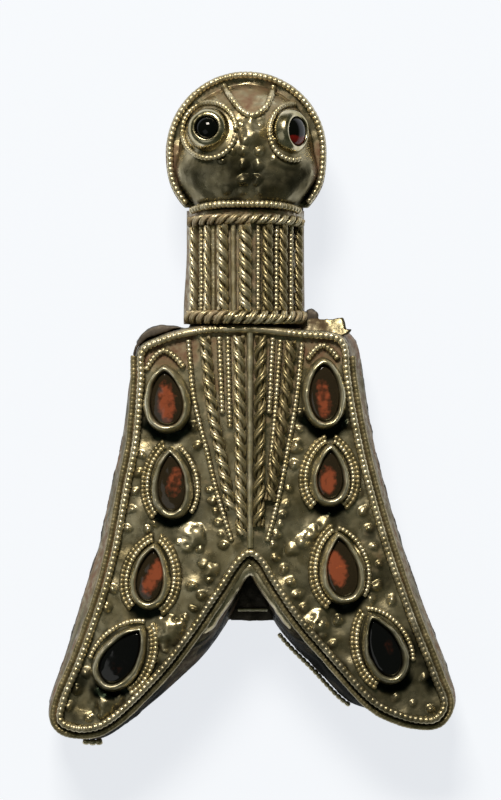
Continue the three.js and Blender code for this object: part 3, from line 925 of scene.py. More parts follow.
@dataclass
class WingCasing:
    """The gold sheet over the wings: a ridged roof with punched dots, and flaring walls."""

    border: Border
    ridge: float = 11.2  # height along the midrib
    fall: float = 0.11  # loss of height for each mm away from it
    bend: float = 8.2  # where the walls stop flaring
    edge: float = 0.45  # how far the roof reaches outside the border wire's middle
    grid: float = 0.14  # distance between the roof's points
    flare_rows: int = 15  # rings of points on the flaring part of the walls
    upright_rows: int = 7  # rings above it
    notch: float = -14.0  # y of the notch's top
    notch_reach: tuple = (8.0, 13.0)  # how far from it the ledge is whole, and where it is gone
    notch_ledge: float = 9.7  # height of the rounded ledge in the notch between the wings
    lip: tuple = ((0.3, 0.0), (0.4, 0.03), (0.45, 0.12), (0.46, 0.3))  # how far out, how far down
    rows: tuple = (
        PunchedRow((-10.5, -4.6), (-11.9, -11.7), 5, 0.55),
        PunchedRow((-13.4, -17.7), (-13.9, -19.4)),
        PunchedRow((-16.1, -25.9), (-17.7, -29.1), 3),
        PunchedRow((-14.9, -29.6), (-15.7, -30.2), 2, 0.5),
        PunchedRow((-14.1, -28.6), (-14.1, -28.6), 1, 1.8, 0.42),
        PunchedRow((-5.5, -1.9), (-5.1, -3.7)),
        PunchedRow((-3.9, -8.0), (-2.6, -13.4), 6, 0.5),
        PunchedRow((-9.3, -11.2), (-10.0, -11.9)),
        PunchedRow((-5.7, -12.7), (-5.7, -12.7), 1, 1.6, 0.4),
        PunchedRow((-5.0, -13.8), (-4.0, -16.7), 3),
        PunchedRow((-3.8, -15.8), (-3.8, -15.8), 1, 1.0, 0.42),
        PunchedRow((-5.6, -17.3), (-4.7, -18.2)),
        PunchedRow((-5.6, -19.6), (-6.4, -20.5)),
        PunchedRow((-8.0, -21.8), (-8.0, -21.8), 1, 1.9, 0.42),
        PunchedRow((-8.3, -23.6), (-9.1, -24.6), 2, 0.5),
        PunchedRow((4.9, -0.5), (4.8, -2.1)),
        PunchedRow((9.5, -1.7), (9.5, -1.7), 1),
        PunchedRow((4.5, -3.8), (4.5, -3.8), 1, 0.85),
        PunchedRow((4.2, -5.6), (3.8, -7.9)),
        PunchedRow((3.5, -9.4), (2.3, -13.3), 5, 0.5),
        PunchedRow((4.1, -13.7), (7.4, -11.3), 4, 0.95, 0.4),
        PunchedRow((2.6, -14.5), (5.3, -19.4), 5),
        PunchedRow((6.5, -21.1), (6.5, -21.1), 1, 1.5, 0.42),
        PunchedRow((8.6, -20.6), (8.6, -20.6), 1, 0.75),
        PunchedRow((6.9, -22.1), (8.0, -23.0)),
        PunchedRow((10.5, -8.4), (12.6, -15.2), 5, 0.55),
        PunchedRow((12.3, -17.4), (11.7, -18.7), 2, 0.7),
        PunchedRow((13.8, -18.7), (13.8, -18.7), 1, 0.7),
        PunchedRow((17.0, -26.3), (17.0, -26.3), 1),
        PunchedRow((14.2, -28.2), (17.6, -29.3), 3, 0.5),
    )
    # The torn corner's outline, and the heights of its foot and top.
    flap: tuple = (
        (5.1, 7.3), (8.6, 7.0), (9.6, 7.2), (9.9, 7.6), (9.5, 7.6), (9.05, 8.7), (7.8, 8.6), (5.3, 8.5),
    )
    flap_height: tuple = (7.4, 8.9)
    # The rolled fold inside the notch.
    roll: tuple = (
        (-6.3, -23.5, 8.0), (-4.4, -21.2, 8.7), (-2.75, -18.95, 9.4), (-1.4, -17.0, 9.8),
        (-0.65, -15.95, 9.95), (0.0, -15.55, 10.0), (0.65, -15.95, 9.95), (1.35, -17.0, 9.8),
        (2.75, -18.95, 9.4), (4.4, -21.1, 8.7), (6.4, -23.4, 8.0),
    )
    roll_radius: float = 0.85

    def height(self, x: Array, y: Array) -> Array:
        """Height of the sheet before its relief."""
        return self.ridge - self.fall * np.abs(x)

    def relief(self, points: Array, noise: Noise) -> Array:
        """How far the sheet lies above its plain height.

        Args:
            points: places on the roof.
            noise: gives the dents.
        Returns:
            One height a point.
        """
        panel = fade(np.abs(points[:, 0]) + 0.42 * -points[:, 1], 5.0, 7.5)
        dents = 0.24 * noise.at(points, 2.6, 2) + 0.04 * noise.at(points, 0.8)
        return raised(points, self.rows, noise) + dents * (0.2 + 0.8 * panel)

    def soil(self, points: Array, noise: Noise) -> Array:
        """How much soil lies at places on the roof: between the panel's wires and in the top corners.

        Args:
            points: the places.
            noise: gives the smears.
        Returns:
            A number from 0 to 1 a point.
        """
        x, y = points[:, 0], points[:, 1]
        panel = fade(y, -9, 3) * (1 - fade(np.abs(x), 4.2, 5.2))
        corners = fade(y, 2.8, 4.6) * fade(np.abs(x), 4.6, 5.4) * 0.6
        smears = 0.25 * fade(noise.at(points, 4.0, 2), 0.2, 0.8)
        return np.clip(0.42 * panel + corners + smears, 0, 0.9)

    def grime(self, points: Array, settings: Sequence["WingSetting"], noise: Noise) -> Array:
        """How dark the roof is painted: a painted shadow below each collar, dark patches, and darker towards
        the wing tips.

        Args:
            points: places on the roof.
            settings: the collars.
            noise: makes the edges ragged.
        Returns:
            A number from 0 to 1 a point.
        """
        black = np.zeros(len(points))
        # painted shadow: a dark crescent below each collar, on the side away from the light
        for one in settings:
            gap = points[:, :2] - (one.x, one.y)
            lean = math.radians(one.lean)
            across = (gap[:, 0] * math.cos(lean) + gap[:, 1] * math.sin(lean)) / (one.width / 2)
            along = (-gap[:, 0] * math.sin(lean) + gap[:, 1] * math.cos(lean)) / (one.length / 2)
            reach = np.hypot(across, along)
            away = np.hypot(gap[:, 0], gap[:, 1]) * (1 - 1 / np.maximum(reach, 0.3))
            below = fade(-gap[:, 1] / np.maximum(np.hypot(gap[:, 0], gap[:, 1]), 0.1), 0.35, 0.8)
            ragged = 0.25 * noise.at(points, 0.9, 2)
            black = np.maximum(black, below * (1 - fade(away + ragged, 0.75, 1.35)))
        patches = 0.6 * fade(noise.at(points + 7, 3.2, 3), 0.1, 0.7) * fade(-points[:, 1], 2.0, 12.0)
        low = (0.25 + 0.15 * (points[:, 0] > 0)) * fade(-points[:, 1], 18.0, 25.0)
        return np.clip(np.maximum(black, patches + low), 0, 1)

    def build(self, palette: Palette, noise: Noise, settings: Sequence["WingSetting"]) -> None:
        """Makes the sheet and hands it over.

        Args:
            palette: the finishes.
            noise: gives dents, streaks and dirt.
            settings: the collars that stand on it.
        """
        shell = Shell()
        walls = self._walls(noise)
        rim = walls[-1]
        roof, faces = self._roof(rim)
        lifted = roof.copy()
        lifted[:, 2] += self.relief(roof, noise) * fade(distance_to(roof, rim[::2]), 0.05, 0.5)
        shell.add(lifted, faces, soil=self.soil(roof, noise), grime=self.grime(roof, settings, noise))
        streaks = noise.at(walls.reshape(-1, 3) * (1, 1, 3), 2.5, 3)
        # painted shade: the walls that face the wing tips, away from the light, are darkened
        south = np.tile(fade(-self.border.out[:, 1], 0.3, 0.8), len(walls))
        shell.rings(
            walls, high=False, soil=np.clip(0.38 + 0.3 * streaks, 0, 0.8),
            grime=np.clip(0.25 - 0.35 * streaks + 0.95 * south, 0, 0.98),
        )
        self._add_flap(shell, noise)
        self._add_roll(shell, noise)
        piece = shell.build("beaten_wing_casing", palette.sheet)
        weld(piece)
        hand_over(piece, ["wing_casing"])

    def _walls(self, noise: Noise) -> Array:
        """The walls and the rounded rim above them.

        Args:
            noise: gives the streaks and the dents.
        Returns:
            Rings of points from the foot up.
        """
        line = self.border.line
        count = len(line)
        tops = self.height(line[:, 0], line[:, 1])
        near = 1 - fade(np.hypot(line[:, 0], line[:, 1] - self.notch), *self.notch_reach)
        near = near * fade(-line[:, 1], 13.6, 14.0)
        bend = self.bend + (self.notch_ledge - self.bend) * near
        rings = []
        for spread in np.linspace(1, 0, self.flare_rows)[:-1]:
            plain = LEDGE + (self.bend - LEDGE) * (1 - spread) ** 0.9
            rounded = LEDGE + (self.notch_ledge - LEDGE) * (1 - spread**3.5)
            rings.append((spread, self.edge * (1 - spread), plain + (rounded - plain) * near))
        for part in np.linspace(0, 1, self.upright_rows)[:-1]:
            rings.append((0.0, self.edge, bend + (tops - 0.45 - bend) * part))
        for out, down in self.lip[::-1]:
            rings.append((0.0, out, tops - down))
        walls = np.array([np.column_stack([self.border.ring(s, e), z]) for s, e, z in rings])
        around = np.cumsum(np.full(count, self.border.step))
        for layer in range(len(walls) - len(self.lip)):
            height = walls[layer, :, 2]
            streak = noise.at(np.column_stack([around / 9, height, np.zeros(count)]), 0.45)
            dent = noise.at(np.column_stack([around, height, np.ones(count)]), 3.0, 3)
            strength = min(1.0, 0.35 + layer / 8)  # less at the foot
            walls[layer, :, :2] += self.border.out * ((0.07 * streak + 0.10 * dent) * strength)[:, None]
        return walls

    def _roof(self, rim: Array) -> tuple[Array, list]:
        """The plain roof inside the rim.

        Args:
            rim: the rim's points.
        Returns:
            Its points and its faces.
        """
        count = len(rim)
        plan = [Vector(p[:2]) for p in rim] + [Vector(p) for p in self._grid(rim)]
        ends = [(i, (i + 1) % count) for i in range(count)]
        where, _, faces, *_ = delaunay_2d_cdt(plan, ends, [], 1, 1e-5)
        roof = np.array([[*p] for p in where])
        return np.column_stack([roof, self.height(roof[:, 0], roof[:, 1])]), faces

    def _grid(self, rim: Array) -> Array:
        """Points inside the rim, a little clear of it, in staggered rows."""
        low, high = rim.min(0), rim.max(0)
        found = []
        for number, y in enumerate(np.arange(low[1], high[1], self.grid * 0.87)):
            x = np.arange(low[0] + (self.grid / 2 if number % 2 else 0), high[0], self.grid)
            found.append(level(x, y))
        spots = np.vstack(found)
        return spots[inside_outline(spots, rim) & (distance_to(spots, rim) > self.grid * 0.8)]

    def _add_roll(self, shell: Shell, noise: Noise) -> None:
        """Adds the rolled fold of the sheet that runs round inside the notch.

        Args:
            shell: the sheet in the making.
            noise: makes it uneven.
        """
        line = smooth_path(self.roll, 0.15)
        ahead = np.gradient(line, axis=0)
        ahead /= np.linalg.norm(ahead, axis=1)[:, None]
        side = np.cross(ahead, (0.0, 0.0, 1.0))
        side /= np.linalg.norm(side, axis=1)[:, None]
        up = np.cross(side, ahead)
        t = np.linspace(0, math.tau, 20, endpoint=False)[None, :, None]
        ends = np.minimum(np.arange(len(line)), np.arange(len(line))[::-1]) / 22
        reach = self.roll_radius * (1 + 0.16 * noise.at(line, 1.3, 2)) * np.clip(ends + 0.05, 0, 1) ** 0.6
        reach = reach[:, None, None]
        rings = line[:, None] + reach * (np.cos(t) * up[:, None] - np.sin(t) * side[:, None] * 0.9)
        shell.rings(rings[:, ::-1], soil=0.1)

    def _add_flap(self, shell: Shell, noise: Noise) -> None:
        """Adds the torn corner of the sheet that stands up at the top right.

        Args:
            shell: the sheet in the making.
            noise: crumples it.
        """
        edge = smooth_path(self.flap, 0.12, closed=True)
        edge = edge + 0.06 * np.column_stack([noise.at(np.column_stack([edge, edge[:, :1]]), 0.3)] * 2)
        low, high = self.flap_height
        sink = 1 - np.linspace(0.0, 0.9, 7)
        middle = edge.mean(0)
        rings = [level(edge, low)]
        for share in sink:
            ring = middle + (edge - middle) * share
            crumple = 0.05 * noise.at(np.column_stack([ring, ring[:, :1]]), 0.6)
            rings.append(np.column_stack([ring, high - 0.38 * (ring[:, 1] - 7.2) + crumple]))
        places = np.array(rings)
        torn = 1 - fade(places[..., 0] + 0.6 * places[..., 1], 12.4, 13.0)
        shell.rings(places, soil=0.5 * torn, grime=0.62)


def inside_outline(points: Array, outline: Array) -> Array:
    """Which points lie inside a closed outline, in plan.

    Args:
        points: rows of x, y.
        outline: rows that begin with x, y.
    Returns:
        True or False a point.
    """
    inside = np.zeros(len(points), bool)
    x, y = points[:, 0], points[:, 1]
    for a, b in zip(outline, np.roll(outline, -1, axis=0)):
        crosses = (a[1] > y) != (b[1] > y)
        if b[1] != a[1]:
            inside ^= crosses & (x < (b[0] - a[0]) * (y - a[1]) / (b[1] - a[1]) + a[0])
    return inside


def weld(obj: Piece, gap: float = 0.002) -> None:
    """Merges points of a mesh that lie within a gap, in mm."""
    cage = bmesh.new()
    cage.from_mesh(obj.data)
    bmesh.ops.remove_doubles(cage, verts=cage.verts, dist=gap * MM)
    cage.to_mesh(obj.data)
    cage.free()
    obj.data.shade_smooth()


@dataclass
class WingWires:
    """The border wire, the thin cord outside it, the midrib and the wires of the V panel."""

    casing: WingCasing
    trees: WireTrees
    bead: float = 0.3
    border_bead: float = 0.4
    border_pitch: float = 0.52
    panel_pitch: float = 0.43
    worn_tops: tuple = ((0.5, 2.9), (-5.9, 0.5))  # where the top's beads are rubbed away: x and reach
    # Beaded wires of the panel: name and line.
    beads: tuple = (
        ("left_bead_first", ((-2.15, 6.9), (-1.95, -2.0))),
        ("left_bead_second", ((-3.0, 6.9), (-2.7, -0.6))),
        ("left_bead_edge", ((-6.0, 6.6), (-5.4, 0.7), (-4.3, -3.8), (-3.0, -9.0), (-1.75, -13.0))),
        ("right_bead_first", ((2.2, 6.8), (1.85, -0.6))),
        ("right_bead_second", ((2.95, 6.6), (2.42, -0.8), (1.9, -6.2))),
        ("right_bead_edge", ((5.05, 6.3), (4.5, 0.9), (3.7, -3.8), (2.7, -9.0), (1.65, -13.0))),
    )
    # Its ropes: name, line, distance between pairs of strands, hand, and a share that picks the darker wire as
    # painted shade and adds soil.
    ropes: tuple = (
        ("left_rope_inner", ((-1.1, 6.9), (-1.0, 0.0), (-0.85, -12.3)), 1.4, Hand.LEFT, 0.0),
        ("left_rope_outer", ((-4.4, 6.8), (-3.6, -0.6), (-2.75, -4.9), (-1.85, -9.9)), 1.31, Hand.LEFT, 0.0),
        ("right_rope_inner", ((1.05, 6.9), (0.95, 0.0), (0.85, -11.5)), 1.65, Hand.RIGHT, 0.5),
        ("right_rope_outer", ((3.95, 6.4), (3.4, 0.6), (2.6, -4.6), (1.9, -9.0)), 1.4, Hand.LEFT, 1.0),
    )
    rope_radius: float = 0.6

    def laid(self, points: Sequence[Sequence[float]], lift: float) -> Array:
        """A line through points, laid on the sheet at a height above it."""
        line = smooth_path(points, 0.2)
        return np.column_stack([line, self.casing.height(line[:, 0], line[:, 1]) + lift])

    def build(self, palette: Palette, noise: Noise) -> None:
        """Makes all the wires and hands them over.

        Args:
            palette: the finishes.
            noise: makes the pieces uneven.
        """
        run, trees = self.trees.run, self.trees
        border = self.casing.border
        line = border.line
        tops = self.casing.height(line[:, 0], line[:, 1])
        around = np.column_stack([line[:, :2], tops + self.border_bead - 0.04])
        smooth = sum(1 - fade(np.abs(line[:, 0] - x), reach, reach + 0.4) for x, reach in self.worn_tops)
        top = fade(line[:, 1], 6.6, 7.0) * smooth
        corner = fade(-line[:, 0], 8.0, 8.6) * fade(line[:, 1], 5.0, 5.6)
        patches = 0.8 * fade(noise.at(around, 3.0), 0.35, 0.6)
        worn = np.clip(top + 0.9 * corner * patches + patches * 0.6, 0, 1)
        dark = 0.55 * fade(-line[:, 1], 8.0, 24.0) + 0.25 * noise.at(around, 1.2, 2)
        dark = np.clip(dark * (1 - 0.5 * fade(-line[:, 0], 8.0, 10.0)), 0, 0.6)
        run(
            "beaded_border", trees.beads, [around], palette.wire, closed=True,
            marks={"worn": worn, "grime": dark},
            Radius=self.border_bead, Pitch=self.border_pitch, Groove=0.34, Sides=10,
            nodes=["border_wire"],
        )
        cord = np.column_stack([border.ring(0, 0.72), tops - 0.35])
        wide = 0.8 + 0.12 * noise.at(cord, 1.5, 2)
        cord, wide = cord[line[:, 1] < 5.0], wide[line[:, 1] < 5.0]
        # painted shade: the cord along the walls takes the darker copy of the wire
        run(
            "edge_cord", trees.beads, [cord], palette.dull, marks={"thick": wide},
            Radius=0.42, Pitch=0.4, Groove=0.12, Sides=10,
        )
        midrib = self.laid(((0.0, 7.4), (0.0, -13.6)), 0.2)
        dull = np.clip(0.9 + 0.2 * noise.at(midrib, 1.1), 0.75, 1.15)
        run(
            "plain_midrib", trees.beads, [midrib], palette.collar, marks={"thick": dull},
            Radius=0.38, Pitch=0.6, Groove=0.03, Unevenness=0.02, Sides=10,
            nodes=["midrib_wire"],
        )
        for name, path in self.beads:
            run(
                name, trees.beads, [self.laid(path, self.bead - 0.05)], palette.wire,
                Radius=self.bead, Pitch=self.panel_pitch, Groove=0.42,
                nodes=["panel_" + name],
            )
        for name, path, lead, hand, tarnish in self.ropes:
            run(
                name, trees.rope, [self.laid(path, self.rope_radius - 0.12)],
                palette.dull if tarnish else palette.wire, marks={"soil": 0.25 * tarnish},
                Radius=self.rope_radius, Strand=0.18, Spacing=lead, Hand=hand.value, Spread=0.75,
                nodes=["panel_" + name],
            )


@dataclass
class BaseWires:
    """Lengths of beaded wire left along the foot of the walls."""

    casing: WingCasing
    trees: WireTrees
    # Each length's name, first and last station, and radius.
    spans: tuple = (("base_wire_left", 9.3, 10.1, 0.36), ("base_wire_right", 19.1, 21.2, 0.24))

    def build(self, palette: Palette) -> None:
        """Makes the wires and hands them over.

        Args:
            palette: the finishes.
        """
        border = self.casing.border
        outer = border.ring(1, 0.3)
        for name, start, end, radius in self.spans:
            rows = border.stretch(start, end, 2)
            line = level(outer[rows], LEDGE - 0.5)
            self.trees.run(
                "beaded_" + name, self.trees.beads, [line], palette.wire,
                Radius=radius, Pitch=0.55, Groove=0.4,
                nodes=[name],
            )


# ------------------------------------------------------------------------- garnets


def drop(width: float, length: float, count: int, sharpness: float = 0.55) -> Array:
    """A closed drop-shaped outline with its point up.

    Args:
        width: across.
        length: from the point to the round end.
        count: points round it.
        sharpness: 0 gives an ellipse.
    Returns:
        Its x and y, anticlockwise.
    """
    t = np.linspace(0, math.tau, count, endpoint=False)
    widest = 2 * math.atan(math.sqrt(1 + sharpness))
    across = lambda a: np.sin(a) * np.abs(np.sin(a / 2)) ** sharpness
    return np.column_stack([-width / 2 * across(t) / across(widest), length / 2 * np.cos(t)])


@dataclass
class WingSetting:
    """One garnet of the wings in its collar, with the beaded wire round it."""

    name: str
    x: float
    y: float
    width: float
    length: float
    lean: float  # degrees anticlockwise
    wires: tuple  # each one's first and last direction in degrees from the point, and its gap
    glow: tuple  # where the red shows: x, y, half width, half length, lean and strength
    arch: float = 0.0  # how much further its wire reaches above the point
    dark: bool = False
    sharp: float = 0.55
    tarnish: float = 0.0  # how dark its collar is
    around: int = 120  # points round its collar
    facets: int = 72  # points round its stone
    stone_inset: float = 1.55  # how much smaller the stone is across
    # The stone's section: share of its outline, and height.
    levels: tuple = (
        (1.0, 0.0), (1.0, 0.6), (0.96, 0.78), (0.88, 0.86), (0.66, 0.9), (0.44, 0.92), (0.22, 0.93),
    )
    # The collar's section: distance in from the outline, and height.
    section: tuple = (
        (0.0, -0.35), (0.0, 0.1), (0.04, 0.42), (0.12, 0.76), (0.23, 1.04), (0.36, 1.25), (0.48, 1.34),
        (0.58, 1.33), (0.67, 1.24), (0.74, 1.08), (0.79, 0.88), (0.8, 0.7), (0.8, -0.35),
    )

    def seat(self, casing: WingCasing) -> Callable[[Array], Array]:
        """Returns what puts the setting's own points onto the sheet."""
        lean, tilt = math.radians(self.lean), math.copysign(math.atan(casing.fall), self.x)
        turn = Matrix.Rotation(tilt, 3, "Y") @ Matrix.Rotation(lean, 3, "Z")
        place = np.array([self.x, self.y, float(casing.height(np.array(self.x), np.array(self.y)))])
        return lambda points: points @ np.array(turn).T + place

    def build(self, casing: WingCasing, trees: WireTrees, palette: Palette, noise: Noise) -> None:
        """Makes the collar, the stone and the wires, and hands them over.

        Args:
            casing: the sheet it stands on.
            trees: the trees of the wires.
            palette: the finishes.
            noise: makes the collar and the stone uneven.
        """
        put = self.seat(casing)
        here = np.array([self.x, self.y, 0.0])
        rings = []
        for inward, height in self.section:
            flat = drop(self.width - 2 * inward, self.length - 2 * inward, self.around, self.sharp)
            ring = level(flat, height)
            wave = noise.at(ring + here, 1.3, 2)
            out = ring[:, :2] / np.linalg.norm(ring[:, :2], axis=1)[:, None]
            ring[:, :2] += out * (0.085 * wave * min(1, height + 0.4))[:, None]
            nick = noise.at(ring * (1, 1, 0.2) + here, 0.5, 2)
            ring[:, 2] += (0.07 * wave + 0.05 * nick) * (height > 1)
            rings.append(put(ring))
        shell = Shell()
        places = np.array(rings)
        spots = 0.5 * noise.at(places.reshape(-1, 3), 1.0, 3)
        shell.rings(places, tube=True, grime=np.clip(self.tarnish * (1 + spots), 0, 0.8))
        collar = shell.build("collar_" + self.name, palette.collar)
        hand_over(collar, ["bezel_" + self.name])

        shell = Shell()
        stone, glow = [], []
        edge = drop(self.width - self.stone_inset, self.length - self.stone_inset, self.facets, self.sharp)
        middle, size, angle = self.glow[:2], self.glow[2:4], math.radians(self.glow[4])
        for share, height in self.levels:
            ring = level(edge * share, height)
            ring[:, 2] += 0.02 * noise.at(ring + here, 0.8, 2) * (height > 0.5)
            gap = ring[:, :2] - middle
            u = (gap[:, 0] * math.cos(angle) + gap[:, 1] * math.sin(angle)) / size[0]
            v = (-gap[:, 0] * math.sin(angle) + gap[:, 1] * math.cos(angle)) / size[1]
            glow.append(self.glow[5] * (1 - fade(np.hypot(u, v), 0.55, 1.6)))
            stone.append(put(ring))
        shell.rings(np.array(stone), glow=np.array(glow))
        gem = shell.build("stone_" + self.name, palette.dark if self.dark else palette.red)
        hand_over(gem, ["garnet_" + self.name])

        beads = {}  # wires on one side have equally many, so that their beads stand in rows
        radius, groove = (0.34, 0.45) if self.arch else (0.29, 0.32)
        for number, (start, end, gap) in enumerate(self.wires):
            t = np.radians(np.linspace(start, end, 60))
            side = (self.width / 2 + gap) * np.sin(t) * np.abs(np.sin(t / 2)) ** 0.3
            up = (self.length / 2 + gap + self.arch) * np.cos(t)
            line = put(np.column_stack([-side * 1.12, up, np.full(60, 0.22)]))
            length = np.linalg.norm(np.diff(line, axis=0), axis=1).sum()
            count = beads.setdefault(math.copysign(1, end), round(length / 0.4))
            # painted shade: every second wire takes the darker copy of the wire
            trees.run(
                f"surround_wire_{self.name}_{number + 1}", trees.beads, [line],
                palette.wire if number % 2 == 0 else palette.dull,
                Radius=radius, Pitch=length / count, Groove=groove, Seed=number,
                nodes=[] if number else ["surround_" + self.name],
            )


# ------------------------------------------------------------------------- the neck


@dataclass
class Neck:
    """The arched neck: a sheet sleeve under upright wires, held by bands at both ends."""

    trees: WireTrees
    x: float = -0.45
    half_width: float = 5.1
    foot: float = 5.75
    spring: float = 7.1
    rise: float = 4.5
    low: float = 8.15
    high: float = 19.3
    wire_ends: tuple = (9.4, 17.7)
    splay: tuple = (0.3, 0.05)  # how much wider each side stands at the wings
    # Upright ropes: how far across each stands, its radius, and whether it takes the darker copy of the wire,
    # painted shade on the right side.
    ropes: tuple = (
        (-5.5, 0.48, 0.0), (-4.15, 0.4, 0.0), (-2.65, 0.6, 0.0), (-0.45, 0.68, 0.0), (1.7, 0.56, 1.0),
        (3.2, 0.46, 1.0), (4.7, 0.44, 1.0),
    )
    # Upright beaded wires: how far across, radius and how far they are worn smooth.
    beads: tuple = (
        (-4.75, 0.27, 0.0), (-3.55, 0.24, 0.75), (-1.6, 0.29, 0.95), (0.8, 0.27, 0.4), (2.55, 0.28, 0.0),
        (3.95, 0.27, 0.2),
    )
    # Bands: name, radius, y, how far the middle bows to the head, and where it is rubbed clean.
    bands: tuple = (("upper", 0.55, 17.9, 0.4, (0.5, 4.2)), ("lower", 0.7, 8.78, 0.0, (-1.8, 3.4)))

    def arch(self, out: float, start: float = 180.0, end: float = 0.0, count: int = 120) -> Array:
        """A line round the arch.

        Args:
            out: how far outside the arch it runs.
            start: its first direction, in degrees.
            end: its last direction.
            count: its points.
        Returns:
            Its x and z.
        """
        turn = np.radians(np.linspace(start, end, count))
        return np.column_stack([
            self.x + (self.half_width + out) * np.cos(turn),
            self.spring + (self.rise + out) * np.sin(turn),
        ])

    def band(self, y: float, out: float, bow: float) -> Array:
        """A line over the neck, clear of its sides.

        Args:
            y: its place along the neck.
            out: how far outside the arch it runs.
            bow: how far its middle bends towards the head.
        Returns:
            Its x, y and z.
        """
        line = self.arch(out, 162.0, 18.0)
        middle = np.clip((line[:, 1] - self.spring) / self.rise, 0, 1)
        return np.column_stack([line[:, 0], y + bow * middle, line[:, 1]])

    def upright(self, across: float, radius: float, noise: Noise) -> Array:
        """The line of an upright wire that lies on the arch.

        Args:
            across: its x.
            radius: its radius.
            noise: makes it sway.
        Returns:
            Its x, y and z.
        """
        out = radius - 0.06
        turn = math.acos((across - self.x) / (self.half_width + out))
        y = np.linspace(*self.wire_ends, 50)
        sway = 0.05 * noise.at(np.column_stack([np.full(50, across), y, np.zeros(50)]), 2.5)
        top = self.spring + (self.rise + out) * math.sin(turn)
        return np.column_stack([across + sway, y, np.full(50, top)])

    def build(self, palette: Palette, noise: Noise) -> None:
        """Makes the sleeve, its wires and bands, and hands them over.

        Args:
            palette: the finishes.
            noise: makes the pieces uneven.
        """
        run, trees = self.trees.run, self.trees
        arch = self.arch(0)
        down = np.linspace(0, 1, 14)[1:, None]
        foot = np.array([self.x + self.foot, LEDGE])
        right = arch[-1] + (foot - arch[-1]) * down
        left = (arch[0] + (foot * (-1, 1) + (2 * self.x, 0) - arch[0]) * down)[::-1]
        section = np.vstack([left, arch, right])[::-1]
        rings = []
        for y in np.arange(self.low, self.high + 0.01, 0.15):
            ring = np.column_stack([section[:, 0], np.full(len(section), y), section[:, 1]])
            dent = 0.06 * noise.at(ring, 1.8, 2) + 0.02 * noise.at(ring, 0.5)
            middle = np.array([self.x, y, self.spring])
            out = (ring - middle) / np.linalg.norm(ring - middle, axis=1)[:, None]
            ring = ring + out * dent[:, None] * (ring[:, 2] > LEDGE + 0.1)[:, None]
            wide = np.clip((self.spring - ring[:, 2]) / (self.spring - LEDGE), 0, 1)
            wide *= 1 - fade(y, 9.0, 15.5)
            ring[:, 0] += np.where(ring[:, 0] < self.x, -self.splay[0], self.splay[1]) * wide
            rings.append(ring)
        shell = Shell()
        shell.rings(np.array(rings), soil=0.4)
        hand_over(shell.build("neck_sheet", palette.sheet), ["neck_sleeve"])

        for number, (across, radius, tarnish) in enumerate(self.ropes):
            run(
                f"neck_rope_{number + 1}", trees.rope, [self.upright(across, radius, noise)],
                palette.dull if tarnish else palette.wire,
                Radius=radius, Strand=0.34 * radius + 0.02, Spacing=1.3, Hand=Hand.LEFT.value, Spread=0.9,
                nodes=["neck_filigree"] if number == 3 else [],
            )
        for number, (across, radius, worn) in enumerate(self.beads):
            run(
                f"neck_bead_{number + 1}", trees.beads, [self.upright(across, radius, noise)],
                palette.wire, marks={"worn": worn}, Radius=radius, Pitch=0.42, Groove=0.42, Seed=number,
            )

        run(
            "collar_ring", trees.beads, [self.band(18.88, 0.38, 0.85)], palette.wire,
            Radius=0.4, Pitch=0.47, Groove=0.34, Sides=10,
            nodes=["neck_collar_ring"],
        )
        for name, radius, y, bow, (start, end) in self.bands:
            line = self.band(y, radius - 0.04, bow)
            clean = fade(line[:, 0], start - 0.8, start) * (1 - fade(line[:, 0], end, end + 0.6))
            dirt = 0.45 * (1 - clean)
            run(
                "wound_band_" + name, trees.rope, [line], palette.wire, marks={"soil": dirt},
                Radius=radius, Strand=0.19, Spacing=1.0, Hand=Hand.LEFT.value, Spread=0.9,
                nodes=["neck_band_" + name],
            )


# ------------------------------------------------------------------------- the head


@dataclass
class EyeSetting:
    """A round garnet in a thick collar, inside a ring of beads."""

    side: str
    x: float
    y: float
    turn: float  # how far it faces to the right, in degrees
    nod: float  # how far it faces up, in degrees
    foot: float  # the collar's radius
    bore: float  # the stone's radius
    above: float  # how far the collar stands up
    ring_x: float  # where the ring of beads is centred
    ring: tuple  # its reach across and along
    span: tuple  # where it begins and ends, in degrees
    below: float = 1.5  # how far all goes down into the head
    around: int = 72
    # The collar from foot to lip: share of the way out, and share of its height.
    crown: tuple = (
        (1, 0.05), (0.94, 0.2), (0.84, 0.4), (0.72, 0.6), (0.58, 0.77), (0.42, 0.89), (0.22, 0.965), (0, 1),
    )
    # The stone: share of its radius, and height above the lip.
    dome: tuple = ((1, -0.3), (0.94, -0.12), (0.8, 0.05), (0.58, 0.2), (0.32, 0.29), (0.08, 0.32))

    def section(self) -> list[tuple[float, float]]:
        """The collar's section: distance from its axis, and height above the face."""
        lip = self.bore + 0.14
        crown = [(lip + (self.foot - lip) * out, self.above * up) for out, up in self.crown]
        bore, above = self.bore, self.above
        inner = [(bore + 0.04, above - 0.04), (bore, above - 0.2), (bore, -self.below)]
        return [(self.foot * 0.68, -self.below), (self.foot, -0.1), *crown, *inner]

    def cabochon(self) -> list[tuple[float, float]]:
        """The stone's section."""
        top, wide = self.above, self.bore - 0.02
        return [(wide, -self.below), *((wide * share, top + rise) for share, rise in self.dome)]


